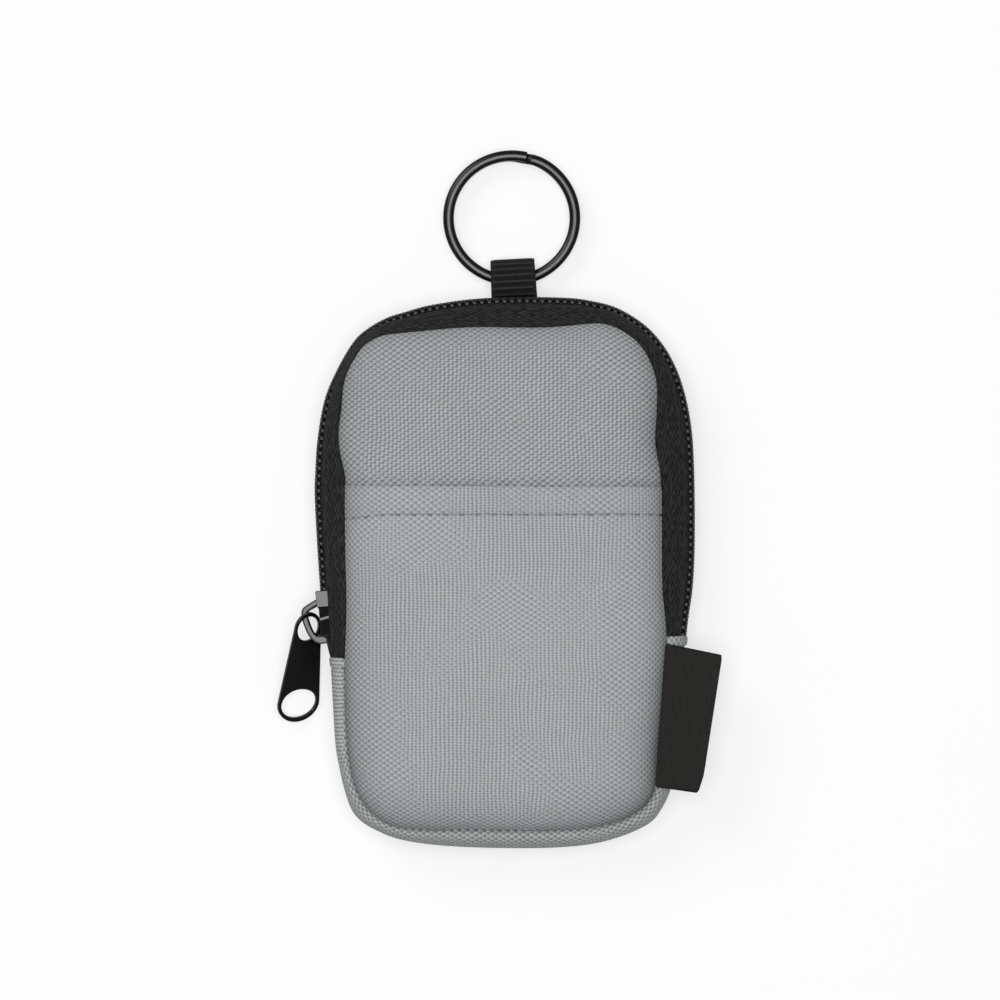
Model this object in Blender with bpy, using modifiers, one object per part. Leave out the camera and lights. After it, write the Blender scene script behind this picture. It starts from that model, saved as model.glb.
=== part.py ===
"""Small zip pouch with a split key ring, lying on its back.

Metres, +Z up out of the front panel, +Y towards the key ring, +X to the right of the front view.
The back panel rests on z = 0 and the origin is under the middle of the body.
"""

import math

import bmesh
import bpy
from mathutils import Matrix, Vector

# Outline of the front and back panels at their seams, and of the zip ridge that stands out past them
PANEL_HALF_WIDTH = 0.0347
PANEL_HALF_LENGTH = 0.0550
RIDGE_SIDE_OVERHANG = 0.0068
RIDGE_END_OVERHANG = 0.0055
BACK_SEAM_HEIGHT = 0.0016
SIDE_HEIGHT = 0.0158
FRONT_CROWN = 0.0030
FRONT_CROWN_RUN = 0.0060
BACK_CROWN_RUN = 0.0050

# Points of the two outlines, clockwise from the top, as shares of their half width and half length
PANEL_OUTLINE_SHARES = (
    (0.00, 0.980), (0.27, 0.985), (0.54, 0.990), (0.68, 0.978), (0.80, 0.945), (0.90, 0.885),
    (0.95, 0.795), (0.96, 0.640), (0.975, 0.475), (0.99, 0.300), (0.99, 0.050), (1.01, -0.180),
    (1.01, -0.310), (0.985, -0.540), (0.955, -0.720), (0.94, -0.850), (0.89, -0.915), (0.80, -0.960),
    (0.67, -0.993), (0.47, -1.015), (0.14, -1.020), (-0.24, -1.018), (-0.50, -1.018), (-0.67, -1.008),
    (-0.79, -0.978), (-0.88, -0.925), (-0.94, -0.860), (-0.98, -0.760), (-1.00, -0.640), (-1.01, -0.400),
    (-1.005, -0.150), (-1.01, 0.080), (-1.02, 0.300), (-1.045, 0.470), (-1.05, 0.600), (-1.035, 0.710),
    (-0.98, 0.810), (-0.885, 0.880), (-0.79, 0.925), (-0.64, 0.960), (-0.38, 0.977),
)
RIDGE_OUTLINE_SHARES = (
    (0.04, 0.999), (0.31, 0.997), (0.45, 0.986), (0.59, 0.960), (0.73, 0.902), (0.825, 0.834),
    (0.893, 0.756), (0.943, 0.664), (0.978, 0.553), (0.993, 0.440), (0.998, 0.260), (0.997, 0.075),
    (0.985, -0.058), (0.965, -0.170), (0.947, -0.300), (0.942, -0.386), (0.931, -0.531), (0.918, -0.660),
    (0.878, -0.784), (0.823, -0.855), (0.750, -0.906), (0.601, -0.950), (0.415, -0.982), (0.230, -0.997),
    (-0.03, -0.999), (-0.27, -0.992), (-0.44, -0.980), (-0.575, -0.962), (-0.676, -0.929), (-0.744, -0.902),
    (-0.804, -0.860), (-0.851, -0.791), (-0.878, -0.712), (-0.901, -0.620), (-0.916, -0.459),
    (-0.928, -0.325),
    (-0.956, -0.227), (-0.979, 0.019), (-1.002, 0.265), (-1.003, 0.360), (-0.991, 0.483), (-0.954, 0.626),
    (-0.892, 0.734), (-0.822, 0.830), (-0.757, 0.878), (-0.648, 0.922), (-0.537, 0.946), (-0.396, 0.970),
    (-0.187, 0.991),
)
STEPS_PER_SPAN = 2
COLUMN_SPACING = 0.0110
ROW_SPACING = 0.0060
EDGE_SHARES = (0.0, 0.18, 0.42, 0.70, 1.0)
LEAST_SPAN_SHARE = 0.2
CORNER_START_SHARE = 0.75
SHARP_ANGLE = math.radians(35.0)

# Sheet thicknesses and the clearance that neighbouring pieces keep
CLEARANCE = 0.0003
FABRIC = 0.0006
FOAM = 0.0020
LINING = 0.0004
FOAM_INSET = 0.0035
LINING_INSET = 0.0010
BINDING_WIDTH = 0.0025
BINDING_THICKNESS = 0.0008
BINDING_INSET = 0.0010
BINDING_CLEARANCE = 0.0008

# Where the front opens, where the pocket mouth lies and where each end of the zip is sewn in
FOLD_Y = -0.0030
POCKET_MOUTH_Y = 0.0193
ZIP_LEFT_END_Y = -0.0183
ZIP_RIGHT_END_Y = -0.0139

# Zip: coil rows on the outer face of two tapes
COIL_WIDTH = 0.0020
COIL_THICKNESS = 0.0014
COIL_CHAMFER = 0.0004
ROW_GAP = 0.0011
TAPE = 0.0005
GUSSET_BULGE_POWER = 0.7
GUSSET_STEPS = 6
GUSSET_LINING_DROP = 0.0013

# Slider, with its arch and its post between the two coil rows
SLIDER_Y = -0.00885
SLIDER_LENGTH = 0.0099
SLIDER_PLATE = 0.0006
SLIDER_GAP = 0.00035
SLIDER_FLANGE = 0.0007
SLIDER_FLANGE_REACH = 0.00135
SLIDER_INNER_PLATE = 0.0008
SLIDER_INNER_HALF_WIDTH = 0.0021
SLIDER_POST_WIDTH = 0.0005
SLIDER_POST_LENGTH = 0.0029
SLIDER_ROUNDING = 0.00025
ARCH_REACH = 0.0043
ARCH_WIRE = 0.00095
ARCH_STEPS_PER_SPAN = 2
ARCH_WELD = 0.00001
ARCH_SHARES = (
    (0.18, 0.52), (0.55, 0.47), (0.87, 0.27), (1.0, -0.10), (0.94, -0.48), (0.74, -0.86),
    (0.50, -1.12), (0.22, -1.20), (0.0, -1.10),
)

# Puller: a flat tab with a hole for the arch and a larger one for the finger, set out from the slider's middle
PULLER_OUT = 0.00414895
PULLER_DOWN = 0.002965253
PULLER_LENGTH = 0.0172
PULLER_THICKNESS = 0.0008
PULLER_TOP_HALF_WIDTH = 0.0030
PULLER_TOP_REACH = 0.0037
PULLER_END_HALF_WIDTH = 0.0045
PULLER_END_REACH = 0.0043
PULLER_EYE_HALF_WIDTH = 0.00235
PULLER_EYE_HALF_LENGTH = 0.0029
PULLER_GRIP_HALF_WIDTH = 0.00375
PULLER_GRIP_HALF_LENGTH = 0.0031
PULLER_TILT = math.radians(38.0)
PULLER_TILT_HEADING = math.radians(55.0)
PULLER_LIFT = 0.0002
PULLER_PIVOT_OUT = 0.00243712
PULLER_PIVOT_DOWN = 0.00078641
PULLER_STEPS = 24

# Webbing loop, in the side view: its path as shares of its reach past the seam and of its height
LOOP_CENTRE_X = 0.00164
LOOP_WIDTH = 0.0099
LOOP_WEBBING = 0.0009
LOOP_TUCK = 0.0059
LOOP_REACH = 0.0138
LOOP_HEIGHT = 0.0060
LOOP_FLOOR = 0.0002
LOOP_PATH_SHARES = (
    (0.045, 0.210), (0.20, 0.225), (0.32, 0.38), (0.42, 0.72), (0.52, 0.96), (0.66, 1.0), (0.80, 0.94),
    (0.93, 0.74), (1.0, 0.46), (0.96, 0.16), (0.84, 0.02), (0.66, 0.0), (0.33, 0.0), (0.0, 0.0),
)
LOOP_STEPS_PER_SPAN = 3

# Split ring: two turns of flattened wire with one jog near the top
RING_WIRE_REACH = 0.0091
RING_MEAN_RADIUS = 0.0138
RING_RADIAL = 0.0024
RING_AXIAL = 0.0030
RING_TURN_GAP = 0.0002
RING_HEIGHT = 0.0034
RING_CORNER = 0.0004
RING_PIVOT_SHIFT = 0.0002
RING_JOG_HALF_ANGLE = math.radians(9.0)
RING_JOG_HEADING = math.radians(81.0)
RING_STEPS = 76

# Side label: a folded satin tag whose left edge is caught in the seam of the panel
LABEL_TOP_Y = -0.0156
LABEL_END_Y = -0.0464
LABEL_WIDTH = 0.0119
LABEL_SLANT = 0.0023
LABEL_CORNER_CUT = 0.0036
LABEL_END_WIDTH_SHARE = 0.78
LABEL_END_SLANT_SHARE = 0.65
LABEL_THICKNESS = 0.0005
LABEL_CLEARANCE = 0.0005

# Materials: linear red, green and blue, then roughness, then metallic
MATERIALS = {
    "grey_fabric": ((0.36, 0.39, 0.395), 0.9, 0.0),
    "grey_lining": ((0.22, 0.24, 0.245), 0.85, 0.0),
    "foam": ((0.75, 0.75, 0.73), 0.95, 0.0),
    "black_tape": ((0.018, 0.018, 0.017), 0.8, 0.0),
    "black_coil": ((0.018, 0.018, 0.017), 0.4, 0.0),
    "black_metal": ((0.012, 0.012, 0.011), 0.35, 0.6),
}

RIDGE_HALF_WIDTH = PANEL_HALF_WIDTH + RIDGE_SIDE_OVERHANG
RIDGE_HALF_LENGTH = PANEL_HALF_LENGTH + RIDGE_END_OVERHANG
LOOP_START_Y = RIDGE_HALF_LENGTH - LOOP_TUCK
RING_WIRE_Y = LOOP_START_Y + RING_WIRE_REACH
RING_CENTRE_Y = RING_WIRE_Y + RING_MEAN_RADIUS
FRONT_SEAM_HEIGHT = BACK_SEAM_HEIGHT + SIDE_HEIGHT
MIDDLE_HEIGHT = BACK_SEAM_HEIGHT + SIDE_HEIGHT / 2
COIL_LOW = ROW_GAP / 2
COIL_HIGH = COIL_LOW + COIL_WIDTH


def smooth_through(points, steps, closed):
    """Points on a Catmull-Rom curve through the given vectors."""
    count = len(points)
    spans = count if closed else count - 1
    result = []
    for i in range(spans):
        if closed:
            before, start, end, after = (points[(i + k) % count] for k in (-1, 0, 1, 2))
        else:
            before, start = points[max(i - 1, 0)], points[i]
            end, after = points[i + 1], points[min(i + 2, count - 1)]
        for step in range(steps):
            t = step / steps
            bend = 2 * before - 5 * start + 4 * end - after
            curl = 3 * start - 3 * end + after - before
            result.append((2 * start + t * (end - before) + t * t * bend + t * t * t * curl) / 2)
    if not closed:
        result.append(points[-1])
    return result


def outline(shares, half_width, half_length):
    corners = [Vector((x * half_width, y * half_length)) for x, y in shares]
    return smooth_through(corners, STEPS_PER_SPAN, True)


PANEL_LOOP = outline(PANEL_OUTLINE_SHARES, PANEL_HALF_WIDTH, PANEL_HALF_LENGTH)
RIDGE_LOOP = outline(RIDGE_OUTLINE_SHARES, RIDGE_HALF_WIDTH, RIDGE_HALF_LENGTH)


def nearest_on_loop(point, loop):
    """The point of the closed loop that lies nearest to the given one."""
    best = None
    for i, start in enumerate(loop):
        along = loop[(i + 1) % len(loop)] - start
        share = (point - start).dot(along) / along.length_squared
        candidate = start + along * min(max(share, 0), 1)
        if best is None or (candidate - point).length < (best - point).length:
            best = candidate
    return best


def edge_distance(x, y):
    point = Vector((x, y))
    return (nearest_on_loop(point, PANEL_LOOP) - point).length


def side_position(loop, y, side):
    """Where the left (-1) or right (1) side of a loop crosses a height, as a fractional index."""
    for i, start in enumerate(loop):
        end = loop[(i + 1) % len(loop)]
        if start.x * side > 0 and (start.y - y) * (end.y - y) <= 0 and start.y != end.y:
            return i + (y - start.y) / (end.y - start.y)
    raise ValueError("the loop doesn't reach that height")


def loop_point(loop, position):
    i = math.floor(position)
    return loop[i % len(loop)].lerp(loop[(i + 1) % len(loop)], position - i)


def loop_stretch(loop, start, end):
    """The loop's points from one fractional index on to another, clockwise."""
    if end < start:
        end += len(loop)
    inner = range(math.floor(start) + 1, math.ceil(end))
    kept = [i for i in inner if min(i - start, end - i) > LEAST_SPAN_SHARE]
    return [loop_point(loop, position) for position in [start, *kept, end]]


def finish_object(name, mesh, material):
    mesh.shade_smooth()
    mesh.set_sharp_from_angle(angle=SHARP_ANGLE)
    obj = bpy.data.objects.new(name, mesh)
    PARTS.objects.link(obj)
    obj.data.materials.append(material)
    return obj


def mesh_from(bm):
    bmesh.ops.recalc_face_normals(bm, faces=bm.faces)
    mesh = bpy.data.meshes.new("shape")
    bm.to_mesh(mesh)
    bm.free()
    return mesh


def sweep(name, sections, material, closed=False):
    """A solid through equal rings of points, capped at both ends unless it closes on itself."""
    bm = bmesh.new()
    rings = [[bm.verts.new(point) for point in section] for section in sections]
    last = len(rings) if closed else len(rings) - 1
    for i in range(last):
        near, far = rings[i], rings[(i + 1) % len(rings)]
        for k in range(len(near)):
            n = (k + 1) % len(near)
            bm.faces.new((near[k], near[n], far[n], far[k]))
    if not closed:
        bm.faces.new(rings[0])
        bm.faces.new(rings[-1])
    return finish_object(name, mesh_from(bm), material)


def slab(name, rows, drop, material):
    """A grid of points made a solid by extruding it straight down, or up where drop is negative."""
    bm = bmesh.new()
    grid = [[bm.verts.new(point) for point in row] for row in rows]
    for near, far in zip(grid, grid[1:]):
        for k in range(len(near) - 1):
            bm.faces.new((near[k], near[k + 1], far[k + 1], far[k]))
    copied = bmesh.ops.extrude_face_region(bm, geom=bm.faces[:])
    moved = [item for item in copied["geom"] if isinstance(item, bmesh.types.BMVert)]
    bmesh.ops.translate(bm, verts=moved, vec=(0, 0, -drop))
    return finish_object(name, mesh_from(bm), material)


def crown_share(distance, run):
    return 1 - (1 - min(distance / run, 1)) ** 2


def front_height(distance, depth):
    """Height of the front sheets at a distance from the seam, lowered by the depth of the layer."""
    return FRONT_SEAM_HEIGHT + FRONT_CROWN * crown_share(distance, FRONT_CROWN_RUN) - depth


def back_height(distance, depth):
    return BACK_SEAM_HEIGHT * (1 - crown_share(distance, BACK_CROWN_RUN)) + depth


def graded(low, high, fine_low, fine_high, spacing):
    """Places from low to high, set close together over the crown's run at a fine end."""
    run = min(FRONT_CROWN_RUN, (high - low) / 2)
    start = [low + run * share for share in EDGE_SHARES] if fine_low else [low]
    end = [high - run * share for share in reversed(EDGE_SHARES)] if fine_high else [high]
    count = max(1, round((end[0] - start[-1]) / spacing))
    between = [start[-1] + (end[0] - start[-1]) * i / count for i in range(1, count)]
    return start + between + end


def panel_rows(low_y, high_y, inset, height, depth):
    """A grid over the panel between two heights, drawn in from its edge by the inset."""
    margin = CLEARANCE * 2 + inset
    bottom = min(point.y for point in PANEL_LOOP) + margin
    top = max(point.y for point in PANEL_LOOP) - margin
    places = graded(max(low_y, bottom), min(high_y, top), low_y < bottom, high_y > top, ROW_SPACING)
    rows = []
    for y in places:
        drawn_in = inset_along(y, inset)
        left = loop_point(PANEL_LOOP, side_position(PANEL_LOOP, y, -1)).x + drawn_in
        right = loop_point(PANEL_LOOP, side_position(PANEL_LOOP, y, 1)).x - drawn_in
        shares = graded(0, PANEL_HALF_WIDTH * 2, True, True, COLUMN_SPACING)
        row = []
        for share in shares:
            x = left + (right - left) * share / (PANEL_HALF_WIDTH * 2)
            row.append((x, y, height(edge_distance(x, y), depth)))
        rows.append(row)
    return rows


def inset_along(y, inset):
    """The sideways inset grows in the corners, where the outline runs across."""
    start = PANEL_HALF_LENGTH * CORNER_START_SHARE
    corner = crown_share(max(abs(y) - start, 0), PANEL_HALF_LENGTH - start)
    return inset * (1 + corner)


def make_material(name, colour, roughness, metallic):
    material = bpy.data.materials.new(name)
    material.use_nodes = True
    shader = material.node_tree.nodes["Principled BSDF"]
    shader.inputs["Base Color"].default_value = (*colour, 1)
    shader.inputs["Roughness"].default_value = roughness
    shader.inputs["Metallic"].default_value = metallic
    material.diffuse_color = (*colour, 1)
    return material


def make_front_layers(fabric, foam, lining):
    """The front panel and what backs it, each in two pieces that part at the fold."""
    pocket_depth = -(CLEARANCE + FABRIC)
    foam_depth = FABRIC + CLEARANCE
    lining_depth = foam_depth + FOAM + CLEARANCE
    far = PANEL_HALF_LENGTH * 2
    upper = (FOLD_Y + CLEARANCE / 2, far)
    lower = (-far, FOLD_Y - CLEARANCE / 2)
    for half, (low, high) in (("upper", upper), ("lower", lower)):
        pocket_top = min(high, POCKET_MOUTH_Y)
        rows = panel_rows(low, pocket_top, 0, front_height, pocket_depth)
        slab(f"pocket_panel_{half}", rows, FABRIC, fabric)
        slab(f"front_panel_{half}", panel_rows(low, high, 0, front_height, 0), FABRIC, fabric)
        slab(f"front_foam_{half}", panel_rows(low, high, FOAM_INSET, front_height, foam_depth), FOAM, foam)
        rows = panel_rows(low, high, LINING_INSET, front_height, lining_depth)
        slab(f"front_lining_{half}", rows, LINING, lining)
    return lining_depth + LINING


def make_back_layers(fabric, foam, lining):
    far = PANEL_HALF_LENGTH * 2
    foam_depth = FABRIC + CLEARANCE
    lining_depth = foam_depth + FOAM + CLEARANCE
    slab("back_panel", panel_rows(-far, far, 0, back_height, 0), -FABRIC, fabric)
    slab("back_foam", panel_rows(-far, far, FOAM_INSET, back_height, foam_depth), -FOAM, foam)
    slab("back_lining", panel_rows(-far, far, LINING_INSET, back_height, lining_depth), -LINING, lining)
    return lining_depth + LINING


def ridge_stretch(start_y, start_side, end_y, end_side):
    start = side_position(RIDGE_LOOP, start_y, start_side)
    end = side_position(RIDGE_LOOP, end_y, end_side)
    return loop_stretch(RIDGE_LOOP, start, end)


def wall_sections(ridge_points, profile):
    """Rings across the side wall: the profile gives (distance out from the seam, height) points."""
    sections = []
    for ridge in ridge_points:
        seam = nearest_on_loop(ridge, PANEL_LOOP)
        out = ridge - seam
        width = out.length
        out.normalize()
        ring = []
        for distance, height in profile(width):
            place = seam + out * distance
            ring.append((place.x, place.y, height))
        sections.append(ring)
    return sections


def mirrored(profile, face):
    """A profile above the middle height, or its mirror image below it where face is -1."""

    def turned(width):
        return [(distance, MIDDLE_HEIGHT + face * height) for distance, height in profile(width)]

    return turned


def tape_profile(width):
    """Sloping web from the seam to the coil, then a straight lip under the coil."""
    lip = width - COIL_THICKNESS - CLEARANCE
    seam_height = SIDE_HEIGHT / 2
    slope = (seam_height - COIL_HIGH) / (lip - CLEARANCE)
    upright = TAPE * math.hypot(1, slope)
    inner = lip - TAPE
    corner = seam_height - upright - slope * (inner - CLEARANCE)
    return [
        (CLEARANCE, seam_height), (lip, COIL_HIGH), (lip, COIL_LOW),
        (inner, COIL_LOW), (inner, corner), (CLEARANCE, seam_height - upright),
    ]


def coil_profile(width):
    inner = width - COIL_THICKNESS
    cut = COIL_CHAMFER
    return [
        (inner, COIL_LOW), (width - cut, COIL_LOW), (width, COIL_LOW + cut),
        (width, COIL_HIGH - cut), (width - cut, COIL_HIGH), (inner, COIL_HIGH),
    ]


def gusset_profile(inset, drop, thickness):
    """A bulging wall from the front seam to the back seam."""

    def profile(width):
        def line(extra_inset, extra_drop):
            reach = width - inset - extra_inset - CLEARANCE
            high = FRONT_SEAM_HEIGHT - drop - extra_drop
            low = BACK_SEAM_HEIGHT + drop + extra_drop
            points = []
            for k in range(GUSSET_STEPS + 1):
                share = k / GUSSET_STEPS
                bulge = math.sin(math.pi * share) ** GUSSET_BULGE_POWER if 0 < k < GUSSET_STEPS else 0
                points.append((CLEARANCE + reach * bulge, high + (low - high) * share))
            return points

        return line(0, 0) + line(thickness, thickness)[::-1]

    return profile


def make_zip(tape, coil):
    upper = ridge_stretch(FOLD_Y + CLEARANCE / 2, -1, FOLD_Y + CLEARANCE / 2, 1)
    left = ridge_stretch(ZIP_LEFT_END_Y, -1, FOLD_Y - CLEARANCE / 2, -1)
    right = ridge_stretch(FOLD_Y - CLEARANCE / 2, 1, ZIP_RIGHT_END_Y, 1)
    whole = ridge_stretch(ZIP_LEFT_END_Y, -1, ZIP_RIGHT_END_Y, 1)
    stretches = (
        ("front", upper, 1), ("front_left_end", left, 1), ("front_right_end", right, 1), ("back", whole, -1),
    )
    for name, points, face in stretches:
        sweep(f"zip_tape_{name}", wall_sections(points, mirrored(tape_profile, face)), tape)
        sweep(f"zip_coil_{name}", wall_sections(points, mirrored(coil_profile, face)), coil)


def make_gusset(fabric, lining):
    points = ridge_stretch(ZIP_RIGHT_END_Y - CLEARANCE, 1, ZIP_LEFT_END_Y - CLEARANCE, -1)
    sweep("bottom_gusset", wall_sections(points, gusset_profile(0, 0, FABRIC)), fabric)
    inset = FABRIC + CLEARANCE
    inner = gusset_profile(inset, GUSSET_LINING_DROP, LINING)
    sweep("gusset_lining", wall_sections(points, inner), lining)


def make_bindings(front_depth, back_depth, material):
    """Narrow tape over the raw edges on the inside, one strip along each seam."""

    def binding(face_height, depth, face):
        def profile(_width):
            outer, inner = BINDING_INSET, BINDING_INSET + BINDING_WIDTH
            start = face_height(outer, depth) - face * BINDING_CLEARANCE
            end = face_height(inner, depth) - face * BINDING_CLEARANCE
            back = face * BINDING_THICKNESS
            return [(-outer, start), (-inner, end), (-inner, end - back), (-outer, start - back)]

        return profile

    front = binding(front_height, front_depth, 1)
    back = binding(back_height, back_depth, -1)
    upper = ridge_stretch(FOLD_Y + CLEARANCE / 2, -1, FOLD_Y + CLEARANCE / 2, 1)
    lower = ridge_stretch(FOLD_Y - CLEARANCE / 2, 1, FOLD_Y - CLEARANCE / 2, -1)
    sweep("front_binding_upper", wall_sections(upper, front), material)
    sweep("front_binding_lower", wall_sections(lower, front), material)
    sweep("back_binding", wall_sections(RIDGE_LOOP, back), material, closed=True)


def slider_frame():
    """Where the slider sits: X into the pouch, Y along the straight left run of the ridge."""
    here = loop_point(RIDGE_LOOP, side_position(RIDGE_LOOP, SLIDER_Y, -1))
    half = SLIDER_LENGTH / 2
    above = loop_point(RIDGE_LOOP, side_position(RIDGE_LOOP, SLIDER_Y + half, -1))
    below = loop_point(RIDGE_LOOP, side_position(RIDGE_LOOP, SLIDER_Y - half, -1))
    along = above - below
    lean = math.atan2(-along.x, along.y)
    return Matrix.Translation((here.x, here.y, MIDDLE_HEIGHT)) @ Matrix.Rotation(lean, 4, "Z")


def add_box(name, low, high, frame):
    size = Vector(high) - Vector(low)
    bpy.ops.mesh.primitive_cube_add(size=1)
    box = bpy.context.object
    box.name = name
    box.data.transform(Matrix.Translation((Vector(low) + Vector(high)) / 2) @ Matrix.Diagonal((*size, 1)))
    box.matrix_world = frame
    return box


def move_to(obj, collection):
    for owner in list(obj.users_collection):
        owner.objects.unlink(obj)
    collection.objects.link(obj)


def as_cutter(obj):
    move_to(obj, CUTTERS)
    obj.hide_render = True
    obj.display_type = "WIRE"
    return obj


def join_to(obj, other, operation):
    modifier = obj.modifiers.new(other.name, "BOOLEAN")
    modifier.operation = operation
    modifier.object = other


def make_slider(material):
    frame = slider_frame()
    half = SLIDER_LENGTH / 2
    inner_face = COIL_HIGH + SLIDER_GAP
    half_width = inner_face + SLIDER_FLANGE
    outer_face = -SLIDER_GAP - SLIDER_PLATE
    low = (outer_face, -half, -half_width)
    body = add_box("slider_body", low, (SLIDER_FLANGE_REACH, half, half_width), frame)
    edge = body.modifiers.new("rounding", "BEVEL")
    edge.width = SLIDER_ROUNDING
    edge.segments = 1
    low = (-SLIDER_GAP, -half * 2, -inner_face)
    channel = add_box("slider_channel", low, (SLIDER_FLANGE_REACH * 2, half * 2, inner_face), frame)
    join_to(body, as_cutter(channel), "DIFFERENCE")
    plate_face = COIL_THICKNESS + CLEARANCE + TAPE + SLIDER_GAP
    low = (plate_face, -half, -SLIDER_INNER_HALF_WIDTH)
    high = (plate_face + SLIDER_INNER_PLATE, half, SLIDER_INNER_HALF_WIDTH)
    join_to(body, as_cutter(add_box("slider_inner_plate", low, high, frame)), "UNION")
    low = (outer_face / 2 - SLIDER_GAP / 2, -half, -SLIDER_POST_WIDTH / 2)
    high = (plate_face + SLIDER_INNER_PLATE / 2, -half + SLIDER_POST_LENGTH, SLIDER_POST_WIDTH / 2)
    join_to(body, as_cutter(add_box("slider_post", low, high, frame)), "UNION")
    join_to(body, as_cutter(make_arch(frame)), "UNION")
    move_to(body, PARTS)
    body.data.materials.append(material)


def make_arch(frame):
    """The arch that carries the puller, a bent wire in the plane of the slider's middle."""
    points = [Vector((-out * ARCH_REACH, along * SLIDER_LENGTH / 2, 0)) for out, along in ARCH_SHARES]
    curve = bpy.data.curves.new("slider_arch", "CURVE")
    curve.dimensions = "3D"
    curve.bevel_depth = ARCH_WIRE / 2
    curve.bevel_resolution = ARCH_STEPS_PER_SPAN
    curve.use_fill_caps = True
    spline = curve.splines.new("POLY")
    smooth = smooth_through(points, ARCH_STEPS_PER_SPAN, False)
    spline.points.add(len(smooth) - 1)
    for place, point in zip(spline.points, smooth):
        place.co = (*point, 1)
    guide = bpy.data.objects.new("slider_arch_curve", curve)
    CUTTERS.objects.link(guide)
    mesh = bpy.data.meshes.new_from_object(guide.evaluated_get(bpy.context.evaluated_depsgraph_get()))
    bpy.data.objects.remove(guide)
    bm = bmesh.new()
    bm.from_mesh(mesh)
    bmesh.ops.remove_doubles(bm, verts=bm.verts, dist=ARCH_WELD)
    bmesh.ops.recalc_face_normals(bm, faces=bm.faces)
    bm.to_mesh(mesh)
    bm.free()
    arch = bpy.data.objects.new("slider_arch", mesh)
    arch.matrix_world = frame
    bpy.context.scene.collection.objects.link(arch)
    return arch


def ellipse_arc(half_width, half_length, centre_y, first, last):
    """Points of an ellipse, from one numbered step to another of the equal steps round it."""
    turns = [2 * math.pi * i / PULLER_STEPS for i in range(first, last + 1)]
    return [(half_width * math.cos(a), centre_y + half_length * math.sin(a)) for a in turns]


def prism(name, points, low, height):
    """An upright solid with the given outline."""
    bm = bmesh.new()
    face = bm.faces.new([bm.verts.new((x, y, low)) for x, y in points])
    top = bmesh.ops.extrude_face_region(bm, geom=[face])
    moved = [item for item in top["geom"] if isinstance(item, bmesh.types.BMVert)]
    bmesh.ops.translate(bm, verts=moved, vec=(0, 0, height))
    obj = bpy.data.objects.new(name, mesh_from(bm))
    bpy.context.scene.collection.objects.link(obj)
    return obj


def make_puller(material):
    half = PULLER_THICKNESS / 2
    middle, last = PULLER_STEPS // 2, PULLER_STEPS - 1
    top = ellipse_arc(PULLER_TOP_HALF_WIDTH, PULLER_TOP_REACH, 0, 0, middle)
    end = ellipse_arc(PULLER_END_HALF_WIDTH, PULLER_END_REACH, -PULLER_LENGTH, middle, PULLER_STEPS)
    puller = prism("puller", top + end, -half, PULLER_THICKNESS)
    eye = ellipse_arc(PULLER_EYE_HALF_WIDTH, PULLER_EYE_HALF_LENGTH, 0, 0, last)
    grip = ellipse_arc(PULLER_GRIP_HALF_WIDTH, PULLER_GRIP_HALF_LENGTH, -PULLER_LENGTH, 0, last)
    heading = Vector((math.cos(PULLER_TILT_HEADING), math.sin(PULLER_TILT_HEADING), 0))
    hole = slider_frame() @ Vector((-PULLER_OUT, -PULLER_DOWN, 0))
    hole.z = MIDDLE_HEIGHT + PULLER_LIFT
    frame = Matrix.Translation(hole) @ Matrix.Rotation(PULLER_TILT, 4, heading)
    puller.matrix_world = frame
    for name, points in (("puller_eye", eye), ("puller_grip", grip)):
        cutter = prism(name, points, -PULLER_THICKNESS, PULLER_THICKNESS * 2)
        cutter.matrix_world = frame
        join_to(puller, as_cutter(cutter), "DIFFERENCE")
    move_to(puller, PARTS)
    puller.data.materials.append(material)


def make_webbing_loop(material):
    """Webbing sewn in under the back tape, carried round the ring and back."""
    places = [Vector((y * LOOP_REACH, z * LOOP_HEIGHT)) for y, z in LOOP_PATH_SHARES]
    path = smooth_through(places, LOOP_STEPS_PER_SPAN, False)
    half = LOOP_WEBBING / 2
    inner, outer = [], []
    for i, point in enumerate(path):
        along = (path[min(i + 1, len(path) - 1)] - path[max(i - 1, 0)]).normalized()
        normal = Vector((-along.y, along.x)) * half
        for line, place in ((outer, point + normal), (inner, point - normal)):
            line.append((LOOP_START_Y + place.x, LOOP_FLOOR + half + place.y))
    sections = []
    for x in (LOOP_CENTRE_X - LOOP_WIDTH / 2, LOOP_CENTRE_X + LOOP_WIDTH / 2):
        sections.append([(x, y, z) for y, z in outer + inner[::-1]])
    sweep("webbing_loop", sections, material)


def make_split_ring(material):
    """Two flat turns of wire, joined by a jog where only one thickness lies."""
    wire_axial = (RING_AXIAL - RING_TURN_GAP) / 2
    shift = (wire_axial + RING_TURN_GAP) / 2
    a, b, c = RING_RADIAL / 2, wire_axial / 2, RING_CORNER
    shape = (
        (a, b - c), (a - c, b), (c - a, b), (-a, b - c), (-a, c - b), (c - a, -b), (a - c, -b), (a, c - b),
    )
    start, end = RING_JOG_HALF_ANGLE, 4 * math.pi - RING_JOG_HALF_ANGLE
    sections = []
    for i in range(RING_STEPS + 1):
        turn = start + (end - start) * i / RING_STEPS
        ramp = (turn - 2 * math.pi) / (2 * RING_JOG_HALF_ANGLE) + 0.5
        ramp = min(max(ramp, 0), 1)
        height = RING_HEIGHT + shift * (2 * ramp * ramp * (3 - 2 * ramp) - 1)
        heading = RING_JOG_HEADING - turn
        ring = []
        for out, up in shape:
            radius = RING_MEAN_RADIUS + out
            x = LOOP_CENTRE_X + radius * math.cos(heading)
            y = RING_CENTRE_Y + radius * math.sin(heading)
            ring.append((x, y, height + up))
        sections.append(ring)
    sweep("split_ring", sections, material)


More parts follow.
